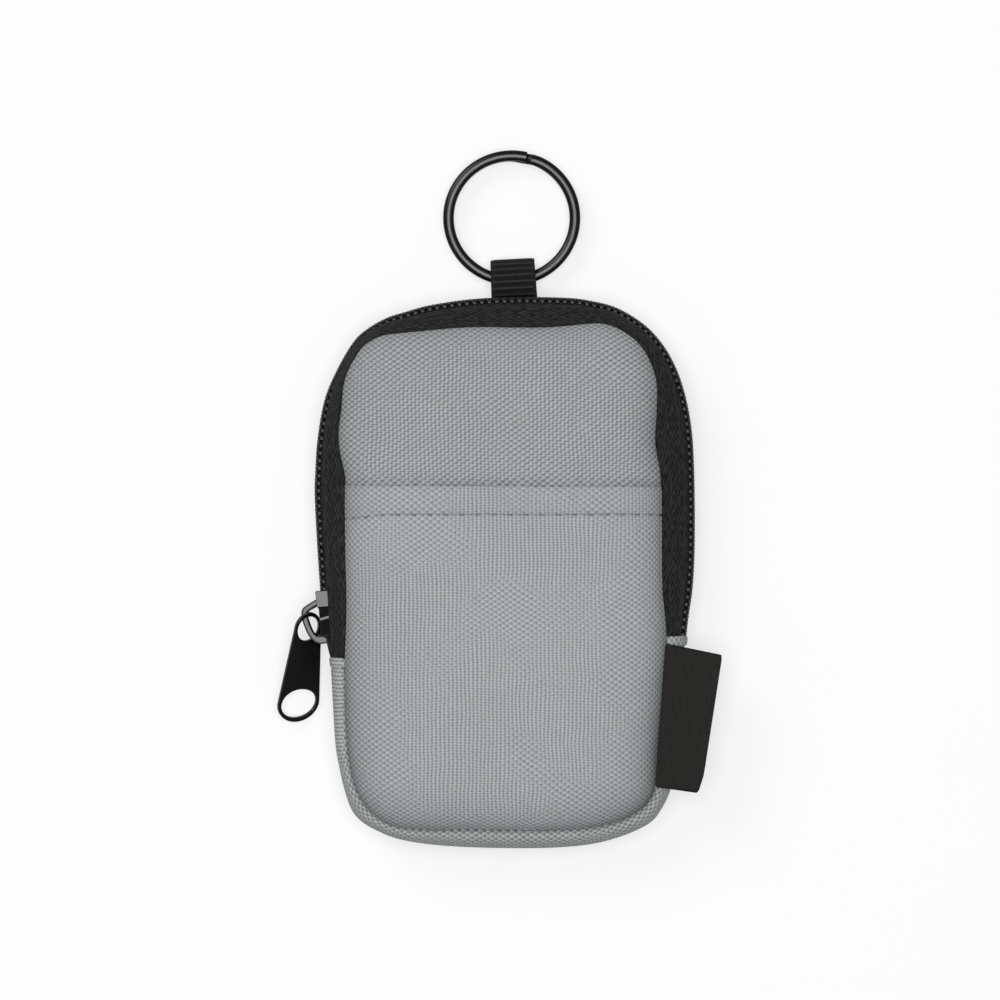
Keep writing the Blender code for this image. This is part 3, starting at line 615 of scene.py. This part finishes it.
def shell(name, count, outer, inner, rim, shading):
    """A closed padded form over the panel's outline.

    outer, inner and shading take places and their distance from the seam, and give heights or painted shade.
    The rim of (inset, height) rows joins the two faces; its last step and the inner face are lining.
    """
    edge = border(count)
    around = len(edge)
    top = patch(PANEL, np.zeros(2), count)
    distance, normal = nearest(top, PANEL)
    distance[edge] = 0
    verts = [np.column_stack([top, outer(*top.T, distance)])]

    # The weave's places are spread by what the cloth gains as it turns down to its seam
    inward = np.linspace(0, 10, 400)
    step = 10 / 399
    rise = np.gradient(outer(0 * inward, 0 * inward, inward))
    extra = np.cumsum((np.hypot(rise, step) - step)[::-1])[::-1]
    uv = [top + normal * np.interp(distance, inward, extra)[:, None]]
    faces = [grid_faces(count, count)]
    slots = [np.zeros((count - 1) ** 2)]

    ring, start = edge, count * count
    out = outward(top[edge])
    reach = extra[0]
    last = np.array([0.0, verts[0][edge, 2].mean()])
    for k, (inset, height) in enumerate(rim):
        verts.append(np.column_stack([top[edge] - out * inset, np.full(around, height)]))
        reach += math.hypot(inset - last[0], height - last[1])
        last = np.array([inset, height])
        uv.append(top[edge] + out * reach)
        new = start + np.arange(around)
        faces.append(band(ring, new))
        slots.append(np.full(around, k == len(rim) - 1))
        ring, start = new, start + around

    low = patch(PANEL - outward(PANEL) * rim[-1][0], np.zeros(2), count)
    verts.append(np.column_stack([low, inner(*low.T, nearest(low, PANEL)[0])]))
    uv.append(low)
    faces += [grid_faces(count, count, start, flip=True), band(ring, start + edge)]
    slots.append(np.ones((count - 1) ** 2 + around))
    shade = np.zeros(sum(map(len, verts)))
    shade[: len(top)] = shading(*top.T, distance)
    # The rim, where the cloth turns down to its seam, gets an even painted shade.
    shade[len(top): len(top) + around * len(rim)] = 0.3
    return new_object(
        name, np.vstack(verts), np.vstack(faces), [GREY, LINING], np.vstack(uv), np.concatenate(slots), shade
    )


def cover_shade(x, y, distance):
    """Painted shade on the front panel, with a painted shadow in the pocket's mouth."""
    return front_shade(x, y, distance) + 0.17 * bell(y - POCKET_MOUTH - 0.1, 0.75)


def front_inner(x, y, distance):
    sag = 1.2 * (0.3 - swell(x, y)) * (1 - np.exp(-distance / 3.0))
    return FRONT_SEAM - 1.5 + 0.9 * (1 - np.exp(-distance / 3.0)) + sag


def make_front():
    rim = ((0.08, 17.0), (0.35, 16.65), (1.0, 16.4), (1.3, 16.0))
    cover = shell("front_cover", FRONT_GRID, front_top, front_inner, rim, cover_shade)
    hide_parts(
        "front_panel_lower", "front_panel_upper", "front_foam_lower", "front_foam_upper",
        "front_lining_lower", "front_lining_upper",
    )
    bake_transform(cover)


def pocket_loop():
    """The panel's outline below the pocket's mouth, just proud of the panel."""
    left, right = crossing(PANEL, POCKET_MOUTH, -1), crossing(PANEL, POCKET_MOUTH, 1)
    low = stretch(PANEL, left, right)
    low = low + outward(PANEL)[(left + np.arange(len(low))) % len(PANEL)] * 0.12
    x = np.linspace(low[-1, 0], low[0, 0], 160)[1:-1]
    droop = 0.12 + 0.10 * (x / 35) ** 2 + 0.05 * np.sin(x / 6.0)
    chord = np.interp(x, [low[0, 0], low[-1, 0]], [low[0, 1], low[-1, 1]])
    return evenly(np.vstack([low, np.column_stack([x, chord - droop])]), 900, True)


def pocket_top(x, y, distance):
    """Height of the slip pocket, with its hem, the line of stitches and the drop at its mouth."""
    base = front_top(x, y, distance, 0.0) + 0.30
    hem = 0.25 / (1 + np.exp(-(y - HEM_STITCH) / 0.25))
    seam = -0.30 * bell(y - HEM_STITCH, 0.32) * np.clip(distance / 2 + 0.3, 0, 1)
    mouth = -0.25 * np.exp(-np.clip(POCKET_MOUTH - y, 0, 9) / 0.30)
    bulge = 0.15 * bell(y - 16.2, 2.4) * np.clip(distance / 6, 0, 1)
    return base + hem + seam + mouth + bulge


def make_pocket():
    edge = border(POCKET_GRID)
    top = patch(pocket_loop(), np.array([0.0, -18.0]), POCKET_GRID, 1.25)
    distance, normal = nearest(top, PANEL)
    height = pocket_top(*top.T, distance)
    verts = [np.column_stack([top, height])]
    uv = [top + normal * (2.2 * np.exp(-distance / 2.3))[:, None]]
    faces = [grid_faces(POCKET_GRID, POCKET_GRID)]
    out = outward(top[edge])
    ring, start = edge, POCKET_GRID**2
    at_mouth = top[edge, 1] > POCKET_MOUTH - 0.9
    for inset, drop in ((0.02, 0.30), (0.25, 0.55)):
        side = np.where(at_mouth, drop, drop * 1.6)
        verts.append(np.column_stack([top[edge] - out * inset, height[edge] - side]))
        uv.append(uv[0][edge] + out * drop)
        new = start + np.arange(len(edge))
        faces.append(band(ring, new))
        ring, start = new, start + len(edge)
    # Painted shade on the pocket: as on the front, a little more over its hem, and a painted shadow just
    # under its mouth.
    top_shade = front_shade(*top.T, distance)
    top_shade += 0.02 / (1 + np.exp((HEM_STITCH - top[:, 1]) / 0.2))
    top_shade += 0.07 * np.exp(-abs(POCKET_MOUTH - 0.3 - top[:, 1]) / 0.4)
    shade = np.concatenate([top_shade] + [seam_shade(distance[edge])] * 2)
    cover = new_object(
        "pocket_cover", np.vstack(verts), np.vstack(faces), [POCKET_GREY], np.vstack(uv), None, shade
    )
    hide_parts("pocket_panel_lower", "pocket_panel_upper")
    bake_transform(cover)


def back_inner(x, y, distance):
    return 4.6 - (1.0 - swell(x, -y)) * (1 - np.exp(-distance / 3.0))


def back_shade(x, y, distance):
    return seam_shade(distance)


def make_back():
    rim = ((0.10, 1.85), (0.45, 2.25), (1.0, 2.55), (1.3, 3.2))
    cover = shell("back_cover", BACK_GRID, back_low, back_inner, rim, back_shade)
    cover.data.flip_normals()
    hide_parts("back_panel", "back_foam", "back_lining")
    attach(cover, "pouch")


# Side wall: gusset, zip tapes and teeth


def wall(points, profile):
    """Rows of points across the side wall; the profile takes its width and gives (out, height) pairs."""
    seam = seam_of(points)
    out = points - seam
    width = np.linalg.norm(out, axis=1)
    out /= width[:, None]
    rows = []
    for place, direction, reach in zip(seam, out, width):
        line = np.array(profile(reach))
        rows.append(np.column_stack([place + direction * line[:, :1], line[:, 1]]))
    return np.array(rows)


def wall_row(points, k, profile):
    """One row of the side wall, worked out with the points beside it."""
    return wall(points[max(k - 1, 0):k + 2], profile)[min(k, 1)]


def cloth_places(rows):
    """(along, across) in millimetres for rows of points that cross a strip."""
    along = np.concatenate([[0], np.cumsum(np.linalg.norm(np.diff(rows, axis=0), axis=2).mean(1))])
    across = np.linalg.norm(np.diff(rows, axis=1), axis=2)
    across = np.concatenate([np.zeros((len(rows), 1)), np.cumsum(across, 1)], 1)
    return np.stack([np.repeat(along[:, None], rows.shape[1], 1), across], -1).reshape(-1, 2)


def gusset_line(width, lowered):
    """Outer line of the gusset's section; its shoulder is lowered where the label can bend down on it."""
    knots = (
        (-0.45, 16.15), (0.10, 16.2), (0.22 * width, 16.85 - 0.3 * lowered),
        (0.48 * width, 16.6 - 1.3 * lowered), (0.74 * width, 15.2 - 1.0 * lowered), (0.92 * width, 12.8),
        (width, 9.6), (0.92 * width, 6.2), (0.74 * width, 3.8), (0.48 * width, 2.4), (0.22 * width, 2.15),
        (0.10, 2.8), (-0.45, 2.85),
    )
    return evenly(smooth_through(knots, steps=8), GUSSET_STEPS)


def folded_row(points, k, from_end):
    """One section of the gusset; near its ends the fabric is folded back, so it stands proud."""
    x, y = points[k]
    fold = 1 / (1 + math.exp((from_end - HEM_FOLD) / 0.12))
    groove = 0.28 * bell(from_end - HEM_FOLD, 0.28)
    lift = (0.17 if x < 0 else 0.55) * fold - groove
    round_end = 0.45 * math.exp(-from_end / 0.22)
    lowered = float(x > 0) * float(np.clip((y + 49.0) / 3.5, 0, 1) * np.clip((-16.2 - y) / 1.5, 0, 1))

    def section(width):
        line = gusset_line(width - 0.22, lowered)
        line[:, 1] += 0.75 * fold * np.exp(-np.clip(line[:, 0], 0, 9) / 0.8) * (line[:, 1] > MIDDLE)
        outer = thick_line(line, -(lift - round_end))[GUSSET_STEPS:][::-1]
        return np.concatenate([outer, thick_line(line, 1.1 - 0.55 * fold)[GUSSET_STEPS:]])

    return wall_row(points, k, section)


def make_gusset():
    first, last = crossing(RIDGE, ZIP_LEFT_END, -1), crossing(RIDGE, ZIP_RIGHT_END, 1)
    points = evenly(stretch(RIDGE, first, last), WALL_STEPS)
    length = np.linalg.norm(np.diff(points, axis=0), axis=1).sum()
    reach = np.linspace(0, length, WALL_STEPS)
    from_end = np.minimum(reach, length - reach)
    rows = np.array([folded_row(points, k, from_end[k]) for k in range(WALL_STEPS)])
    around = rows.shape[1]
    verts, faces = tube_of(rows)
    # Painted shade on the gusset: an even base with less of it on the upper left, deeper along the panel's
    # seam and along the folds near its ends.
    left_side_shade = 0.12 - 0.11 * np.clip((verts[:, 1] + 50) / 15, 0, 1)
    gusset_shade = np.where(verts[:, 0] < 0, left_side_shade, 0.12)
    gusset_shade += 0.22 * np.exp(-nearest(verts[:, :2], PANEL)[0] / 0.35)
    gusset_shade += 0.22 * np.repeat(bell(from_end - HEM_FOLD, 0.25), around)
    column = np.arange(len(faces)) % around
    inside = (column >= GUSSET_STEPS - 1) & (column < around - 1)
    made = new_object("gusset_cover", verts, faces, [SIDE_GREY, LINING], cloth_places(rows), inside, gusset_shade)
    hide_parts("bottom_gusset", "gusset_lining")
    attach(made, "pouch")


def thick_line(line, thickness):
    """A closed section: a line of (out, height) points and the same line moved inward."""
    return np.vstack([line, (line + sideways(line) * thickness)[::-1]])


def tape_section(face, bare):
    """The front (1) or back (-1) tape's section; bare is 1 where it has no teeth and draws in."""

    def section(width):
        width = width - 0.05 * bare
        knots = (
            (-0.5, 7.15), (0.25, 7.45), (0.22 * width, 7.0), (0.45 * width, 5.7), (0.70 * width, 4.2),
            (width - 1.50, 2.95), (width - 0.62, 2.25), (width - 0.36, 0.75),
        )
        line = smooth_through(knots, steps=4)
        section = thick_line(line, 0.5)
        section[:, 1] = MIDDLE + face * section[:, 1]
        return section

    return section


def make_tapes():
    first, last = crossing(RIDGE, ZIP_LEFT_END - 0.5, -1), crossing(RIDGE, ZIP_RIGHT_END - 0.5, 1)
    points = evenly(stretch(RIDGE, last, first)[::-1], WALL_STEPS)
    for side, face in (("front", 1), ("back", -1)):
        bare = np.clip((TEETH_LEFT_END + 0.8 - points[:, 1]) / 1.2, 0, 1) * (points[:, 0] < 0)
        rows = np.array([wall_row(points, k, tape_section(face, bare[k])) for k in range(WALL_STEPS)])
        rows = rows if face < 0 else rows[:, ::-1]
        uv = cloth_places(rows).reshape(len(rows), -1, 2)
        reach = np.linalg.norm(rows[..., :2] - seam_of(points)[:, None], axis=2)
        outer = np.argmax(reach + 0.1 * face * (rows[..., 2] - MIDDLE), 1)
        uv[..., 1] = abs(uv[..., 1] - uv[np.arange(WALL_STEPS), outer, 1][:, None])
        tape = sweep_rows(f"{side}_tape", rows, [TAPE], uv.reshape(-1, 2))
        if face > 0:
            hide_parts("zip_tape_front", "zip_tape_front_left_end", "zip_tape_front_right_end")
            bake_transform(tape)
        else:
            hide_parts("zip_tape_back")
            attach(tape, "pouch")


# A tooth's rings from the tape to its tip: places outward and from the middle, half widths outward and along
TOOTH_PITCH = 1.66
TOOTH_AROUND = 12
TOOTH = (
    (-1.00, 3.06, 0.29, 0.30), (-0.99, 3.03, 0.40, 0.44), (-0.94, 2.88, 0.57, 0.68), (-0.86, 2.5, 0.73, 0.86),
    (-0.78, 1.9, 0.75, 0.90), (-0.72, 1.0, 0.68, 0.84), (-0.72, 0.55, 0.66, 0.62), (-0.70, 0.1, 0.58, 0.40),
    (-0.70, -0.3, 0.50, 0.36), (-0.70, -0.45, 0.2, 0.2),
)
# The back row is further from the camera, so it stands out a little more to line up with the front one
BACK_TEETH_SPREAD = 1.0031


def tooth_rings():
    """Rings of points round a tooth in (out, along, up), each a rounded square."""
    circle = ellipse(1, 1, TOOTH_AROUND)
    circle = np.column_stack([np.sign(circle) * abs(circle) ** 0.8, np.zeros(TOOTH_AROUND)])
    return [circle * (half_out, half_along, 0) + (out, 0, up) for out, up, half_out, half_along in TOOTH]


def make_teeth():
    first, last = crossing(RIDGE, TEETH_LEFT_END, -1), crossing(RIDGE, ZIP_RIGHT_END, 1)
    line = stretch(RIDGE, last, first)[::-1]
    length = np.linalg.norm(np.diff(line, axis=0), axis=1).sum()
    places = evenly(line, int(length / TOOTH_PITCH) * 2 + 1)
    tooth, faces = tube_of(tooth_rings())
    for side, face, offset in (("front", 1, 0), ("back", -1, 1)):
        spots = places[offset::2]
        along, out = tangents(spots), sideways(spots)
        out *= np.sign((out * spots).sum(1))[:, None]
        pieces = []
        for k, spot in enumerate(spots):
            if face < 0:
                spot = VIEW_CENTRE + (spot - VIEW_CENTRE) * BACK_TEETH_SPREAD
            flat = spot + tooth[:, :1] * out[k] + tooth[:, 1:2] * along[k]
            pieces.append((np.column_stack([flat, MIDDLE + face * tooth[:, 2]]), faces))
        row = new_object(f"{side}_teeth", *joined(pieces), [TEETH])
        if face > 0:
            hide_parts("zip_coil_front", "zip_coil_front_left_end", "zip_coil_front_right_end")
            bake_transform(row)
        else:
            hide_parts("zip_coil_back")
            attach(row, "pouch")


def make_bindings():
    """Tape over the raw edges inside, along both seams at the given heights."""
    for side, height, face in (("front", 15.1, 1), ("back", 5.0, -1)):
        section = [(-1.0, 0), (-3.4, 0.25), (-3.5, -0.1), (-3.4, -0.55), (-1.0, -0.8), (-0.9, -0.4)]
        section = smooth_through(section, True, 3)
        if face < 0:
            section = section * (1, -1)
        rows = wall(evenly(RIDGE, 300, True), lambda _width: section + (0, height))
        rows = np.concatenate([rows, rows[:1]])
        tube = sweep_rows(f"{side}_edge_tape", rows, [BINDING], cloth_places(rows), close_ends=False)
        if face > 0:
            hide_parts("front_binding_lower", "front_binding_upper")
            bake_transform(tube)
        else:
            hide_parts("back_binding")
            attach(tube, "pouch")


# Webbing loop, split ring, slider, puller and label

LOOP_X = 1.64
LOOP_SEAM_Y = 54.6
LOOP_REACH = 14.4
LOOP_HEIGHT = 6.6
LOOP_FLOOR = 0.03
LOOP_ACROSS = 17
LOOP_HALF_WIDTH = 5.08
LOOP_SKEW = 0.053
WEBBING_THICKNESS = 0.9
# The loop's side view from its upper end round the ring to its lower end, in shares of its reach and height
LOOP_PATH = (
    (0.045, 0.210), (0.20, 0.225), (0.32, 0.38), (0.42, 0.72), (0.52, 0.96), (0.66, 1.0), (0.80, 0.94),
    (0.93, 0.74), (1.0, 0.46), (0.96, 0.16), (0.84, 0.02), (0.66, 0.0), (0.33, 0.0), (0.0, 0.0),
)


def rounded_section(half_width, half_height, corner, steps=3):
    """Points round a rectangle with rounded corners."""
    turns = math.pi / 2 * (np.arange(4)[:, None] + np.arange(steps + 1) / steps)
    centres = np.array([(1, 1), (-1, 1), (-1, -1), (1, -1)]) * (half_width - corner, half_height - corner)
    return (centres[:, None] + corner * np.stack([np.cos(turns), np.sin(turns)], -1)).reshape(-1, 2)


def make_loop():
    path = smooth_through(np.array(LOOP_PATH) * (LOOP_REACH, LOOP_HEIGHT), steps=12)
    path = evenly(path, 150) + (LOOP_SEAM_Y, LOOP_FLOOR + WEBBING_THICKNESS / 2)
    rows, uv = [], []
    across = np.linspace(-1, 1, LOOP_ACROSS)
    across = np.concatenate([across, across[::-1]])
    face = np.repeat([1, -1], LOOP_ACROSS)
    for place, up, far in zip(path, -sideways(path), reaches(path)):
        share = np.clip((place[0] - 59.5) / 9.0, 0, 1)
        half = LOOP_HALF_WIDTH - 0.20 * share
        centre = LOOP_X + 0.40 - 0.50 * share
        skew = LOOP_SKEW * np.clip((place[0] - 55.5) / 5.0, 0, 1)
        thick = WEBBING_THICKNESS / 2 * (1 - 0.45 * abs(across) ** 12)
        offset = face * thick
        x = centre + across * half
        y = place[0] + up[0] * offset + skew * (x - centre)
        rows.append(np.column_stack([x, y, place[1] + up[1] * offset]))
        uv.append(np.column_stack([np.full(2 * LOOP_ACROSS, far), across * 4.95]))
    loop = sweep_rows("ring_loop", rows, [WEBBING], np.vstack(uv))
    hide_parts("webbing_loop")
    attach(loop, "pouch")


RING_CENTRE = (LOOP_X - 0.25, 78.5)
RING_HEIGHT = 3.4
RING_RADIUS = 14.0
RING_SQUASH = 0.984
RING_SECTION = (2.4, 3.0)
TURN_GAP = 0.2


def make_ring():
    """Two turns of wire, one on the other, with a jog from the upper to the lower where the ends meet."""
    radial, axial = RING_SECTION
    wire = (axial - TURN_GAP) / 2
    shift = (wire + TURN_GAP) / 2
    jog, heading = math.radians(6.5), math.radians(78)
    section = ellipse(radial / 2, wire / 2, 24)
    start, end = jog, 4 * math.pi + 0.2 * jog
    rows = []
    for turn in np.linspace(start, end, 420):
        ramp = min(max((turn - 2 * math.pi) / (2 * jog) + 0.5, 0), 1)
        z = RING_HEIGHT + shift * (2 * ramp * ramp * (3 - 2 * ramp) - 1)
        spot = heading - turn
        outer_end = 0.05 * math.exp(-(end - turn) / 0.22)
        jogged = -0.30 * bell(turn - 2 * math.pi, 0.16)
        reach = RING_RADIUS + outer_end + jogged + section[:, 0]
        x = RING_CENTRE[0] + reach * math.cos(spot)
        y = RING_CENTRE[1] + RING_SQUASH * reach * math.sin(spot)
        rows.append(np.column_stack([x, y, z + section[:, 1]]))
    ring = sweep_rows("key_ring", rows, [RING_METAL])
    ring.data.set_sharp_from_angle(angle=math.radians(50))
    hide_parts("split_ring")
    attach(ring, "ring")


SLIDER_ORIGIN = np.array([-40.022, -8.85, 9.5])
SLIDER_LEAN = math.atan2(0.067869, 0.997694)


def from_slider(points):
    """Points in the slider's own frame, X into the pouch and Y along the zip, put in place."""
    c, s = math.cos(SLIDER_LEAN), math.sin(SLIDER_LEAN)
    p = np.array(points, float)
    return SLIDER_ORIGIN + np.column_stack([c * p[:, 0] - s * p[:, 1], s * p[:, 0] + c * p[:, 1], p[:, 2]])


def slider_shell():
    """The outer plate with its flanges round the coil; the upper third of each flange lies flat."""
    rows = []
    lower = (-4.95, -4.83, -4.4, -3.4, -2.2, -1.5, -1.38, -0.86, -0.74)
    for y in (*lower, 0.2, 0.9, 1.35, 1.5, 3.0, 4.2, 4.83, 4.95):
        facet, line = y > 1.45, -1.4 < y < -0.8
        fall = 0.0 if facet or line else 0.30
        end = 0.22 if abs(y) > 4.9 else 0.02 if abs(y) > 4.8 else 0.0
        outer = -0.95 - 0.35 * min(max((y - 0.9) / 0.6, 0), 1) - 0.06 * max(y - 1.5, 0) + end
        skew = 0.22 if abs(y + 1.1) < 0.6 else 0.0

        def top(x):
            return 3.6 - fall * (1.35 - x) - end

        high = [(1.35 - end, 2.92), (1.35 - end, top(1.35) - 0.12), (1.20 - end, top(1.2)), (0.6, top(0.6)),
                (0.0, top(0)), (outer + 0.35, top(outer + 0.35)), (outer + 0.10, top(outer + 0.10)),
                (outer, top(outer) - 0.14), (outer, 1.6), (outer - 0.1, 0.0)]
        low = [(x, -z) for x, z in high[:-1][::-1]]
        inner = [(-0.35, 0.0), (-0.35, 1.8), (-0.35, 2.75), (-0.25, 2.92), (0.5, 2.92)]
        back = [(x, -z) for x, z in inner[1:][::-1]] + inner
        rows.append([(x, y + skew * x, z) for x, z in high + low + back])
    return tube_of([from_slider(row) for row in rows])


def block(low, high, corner):
    """A box with rounded edges in the slider's frame."""
    low, high = np.array(low, float), np.array(high, float)
    half, middle = (high - low) / 2, (high + low) / 2
    rows = []
    for z, inset, depth in ((-1, 1, 0), (-1, 0.3, 0.3), (-1, 0, 1), (1, 0, 1), (1, 0.3, 0.3), (1, 1, 0)):
        shape = rounded_section(half[0] - inset * corner, half[1] - inset * corner, corner) + middle[:2]
        rows.append(np.column_stack([shape, np.full(len(shape), middle[2] + z * (half[2] - depth * corner))]))
    return tube_of([from_slider(row) for row in rows])


def arch_tube():
    """The arch that the puller hangs from: a flat band, broader where it meets the slider's lower end."""
    path = np.array([
        (-41.3, -6.35), (-41.95, -6.73), (-44.02, -8.08), (-44.33, -9.20), (-44.02, -10.74), (-43.07, -13.10),
        (-41.99, -14.43), (-41.05, -14.76), (-38.9, -14.5),
    ])
    path = evenly(smooth_through(path), 48)
    section = np.array([
        (0.66, 0.22), (0.58, 0.42), (0.46, 0.46), (-0.40, 0.46), (-0.52, 0.42), (-0.84, -0.2),
        (-0.7, -0.42), (-0.4, -0.46), (0.4, -0.46), (0.66, -0.3),
    ])
    widths = 1 + 0.45 * np.clip((np.linspace(0, 1, len(path)) - 0.72) / 0.13, 0, 1)
    rows = []
    for place, across, width in zip(path, sideways(path), widths):
        flat = place + section[:, :1] * width * across
        rows.append(np.column_stack([flat, MIDDLE + section[:, 1]]))
    return tube_of(rows)


def make_slider():
    plate = block((2.55, -4.9, -2.1), (3.35, 4.9, 2.1), 0.35)
    post = block((-0.6, -4.9, -0.25), (3.0, -2.05, 0.25), 0.12)
    verts, faces = joined([slider_shell(), plate, post, arch_tube()])
    slider = new_object("zip_slider", verts, faces, [METAL])
    slider.data.set_sharp_from_angle(angle=math.radians(32))
    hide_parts("slider_body")
    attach(slider, "slider")


def egg(top_half, top_reach, end_half, end_reach, length, count=96):
    """Outline of the puller's plate: two half ellipses with straight sides between, counter-clockwise."""
    turns = np.linspace(0, math.pi, count // 2)
    top = np.column_stack([top_half * np.cos(turns), top_reach * np.sin(turns)])
    end = np.column_stack([-end_half * np.cos(turns), -length - end_reach * np.sin(turns)])
    return evenly(np.vstack([top, end]), count, True)


PULLER_HANG = (-4.05, -3.15, 0.2)
PULLER_HALF = 0.4
PULLER_TILT = math.radians(38)
PULLER_AXIS = math.radians(55)
PULLER_SWING = math.radians(-1.9)
PULLER_PIVOT = np.array([0.0, -9.0])


def make_puller():
    """A flat plate with two holes, filled between its outlines, drawn up and rounded at its edges."""
    turn = Matrix.Rotation(PULLER_TILT, 3, Vector((math.cos(PULLER_AXIS), math.sin(PULLER_AXIS), 0)))
    centre = from_slider([PULLER_HANG])[0]
    mesh = bpy.data.meshes.new("puller_tab")
    bm = bmesh.new()
    curves = [egg(3.28, 3.8, 5.2, 4.5, 17.8), ellipse(2.6, 2.9, 40), ellipse(4.38, 3.4, 40) + (0, -17.87)]
    c, s = math.cos(PULLER_SWING), math.sin(PULLER_SWING)
    curves = [PULLER_PIVOT + (curve - PULLER_PIVOT) @ np.array([[c, s], [-s, c]]) for curve in curves]
    edges = []
    for curve in curves:
        points = [bm.verts.new((x, y, -PULLER_HALF)) for x, y in curve]
        edges += [bm.edges.new((points[i], points[(i + 1) % len(points)])) for i in range(len(points))]
    bmesh.ops.triangle_fill(bm, use_beauty=True, use_dissolve=True, edges=edges)
    up = bmesh.ops.extrude_face_region(bm, geom=bm.faces[:])
    raised = [v for v in up["geom"] if isinstance(v, bmesh.types.BMVert)]
    bmesh.ops.translate(bm, verts=raised, vec=(0, 0, 2 * PULLER_HALF))
    bmesh.ops.recalc_face_normals(bm, faces=bm.faces[:])
    rims = [e for e in bm.edges if len(e.link_faces) == 2 and e.calc_face_angle() > math.radians(60)]
    bmesh.ops.bevel(bm, geom=rims, offset=0.2, segments=3, profile=0.6, affect="EDGES", clamp_overlap=True)
    for v in bm.verts:
        v.co = (Vector(centre) + turn @ v.co) * MM
    bm.to_mesh(mesh)
    bm.free()
    mesh.materials.append(METAL)
    mesh.shade_smooth()
    mesh.set_sharp_from_angle(angle=math.radians(35))
    puller = linked("puller_tab", mesh)
    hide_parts("puller")
    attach(puller, "puller")


LABEL_CENTRE = np.array([40.4, -31.8])
LABEL_HEIGHTS = (18.2, 17.75)
LABEL_WEAVE = math.radians(-85)


def make_label():
    corners = np.array([
        (34.95, -15.3), (32.7, -46.75), (41.8, -48.05), (42.35, -47.5), (43.4, -44.2), (47.45, -18.1),
        (47.2, -17.8),
    ])
    grid = patch(evenly(corners, 400, True), LABEL_CENTRE, LABEL_GRID, 1.0)
    x, y = grid.T
    lift = 0.10 * np.sin((y + 15) / 4.1) * np.clip((x - 36) / 8, 0, 1) + 0.05 * np.sin(x / 1.7 + y / 9)
    c, s = math.cos(LABEL_WEAVE), math.sin(LABEL_WEAVE)
    uv = np.column_stack([x * c + y * s, -x * s + y * c])
    edge = border(LABEL_GRID)
    under = len(grid)
    verts = [np.column_stack([grid, height + lift]) for height in LABEL_HEIGHTS]
    faces = [grid_faces(LABEL_GRID, LABEL_GRID), grid_faces(LABEL_GRID, LABEL_GRID, under, flip=True)]
    faces.append(band(edge, edge + under))
    label = new_object("side_tag", np.vstack(verts), np.vstack(faces), [SATIN], np.vstack([uv, uv]))
    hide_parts("side_label")
    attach(label, "label")


# Floor, lights and camera

CAMERA_HEIGHT = 1217.4
LENS = 197.3
SENSOR = 36.0
FLOOR_HALF = 6000


def area_light(name, place, target, size, watts):
    """A round lamp; its place, target and size are in millimetres."""
    data = bpy.data.lights.new(name, "AREA")
    data.shape = "DISK"
    data.size = size * MM
    data.energy = watts
    light = linked(name, data)
    light.location = Vector(place) * MM
    light.rotation_euler = (Vector(target) - Vector(place)).to_track_quat("-Z", "Y").to_euler()


def make_stage():
    """A pale floor that shows white behind the pouch, also in its reflections, and keeps its shadow."""
    mesh = bpy.data.meshes.new("floor")
    corners = [(x * FLOOR_HALF * MM, y * FLOOR_HALF * MM, 0) for x, y in ((-1, -1), (1, -1), (1, 1), (-1, 1))]
    mesh.from_pydata(corners, [], [(0, 1, 2, 3)])
    look = Look("pale_floor", 0.9, 0.1)
    place = look.node("TexCoord").outputs["Object"]
    look.finish(look.mix(look.noise(place, 30.0), linear(252, 252, 252), linear(254, 254, 254)))
    rays = look.node("LightPath").outputs
    seen = look.math("MAXIMUM", rays["Is Glossy Ray"], rays["Is Transmission Ray"])
    seen = look.math("MAXIMUM", rays["Is Camera Ray"], seen)
    white = look.node("Emission").outputs[0]
    both = look.filled(look.node("MixShader"), look.times(seen, 0.6), look.shader.outputs[0], white)
    look.feed(look.tree.nodes["Material Output"].inputs["Surface"], both)
    mesh.materials.append(look.material)
    floor = linked("floor", mesh)


def make_light():
    world = bpy.data.worlds.new("studio")
    bpy.context.scene.world = world
    world.use_nodes = True
    background = world.node_tree.nodes["Background"].inputs
    background["Color"].default_value = (1, 1, 1, 1)
    background["Strength"].default_value = 0.20
    area_light("overhead", (0, 0, 1500), (0, 0, 0), 860, 15.5)
    area_light("key", (-900, 900, 1300), (0, 0, 0), 900, 7.0)


def make_camera():
    data = bpy.data.cameras.new("camera")
    data.lens = LENS
    data.sensor_width = SENSOR
    data.clip_start = 0.01
    data.clip_end = 20
    camera = linked("camera", data)
    camera.location = (VIEW_CENTRE[0] * MM, VIEW_CENTRE[1] * MM, CAMERA_HEIGHT * MM)
    scene = bpy.context.scene
    scene.camera = camera
    scene.view_settings.view_transform = "Standard"


for make in (
    make_front, make_pocket, make_back, make_gusset, make_tapes, make_teeth, make_bindings, make_loop,
    make_ring, make_slider, make_puller, make_label, make_stage, make_light, make_camera,
):
    make()
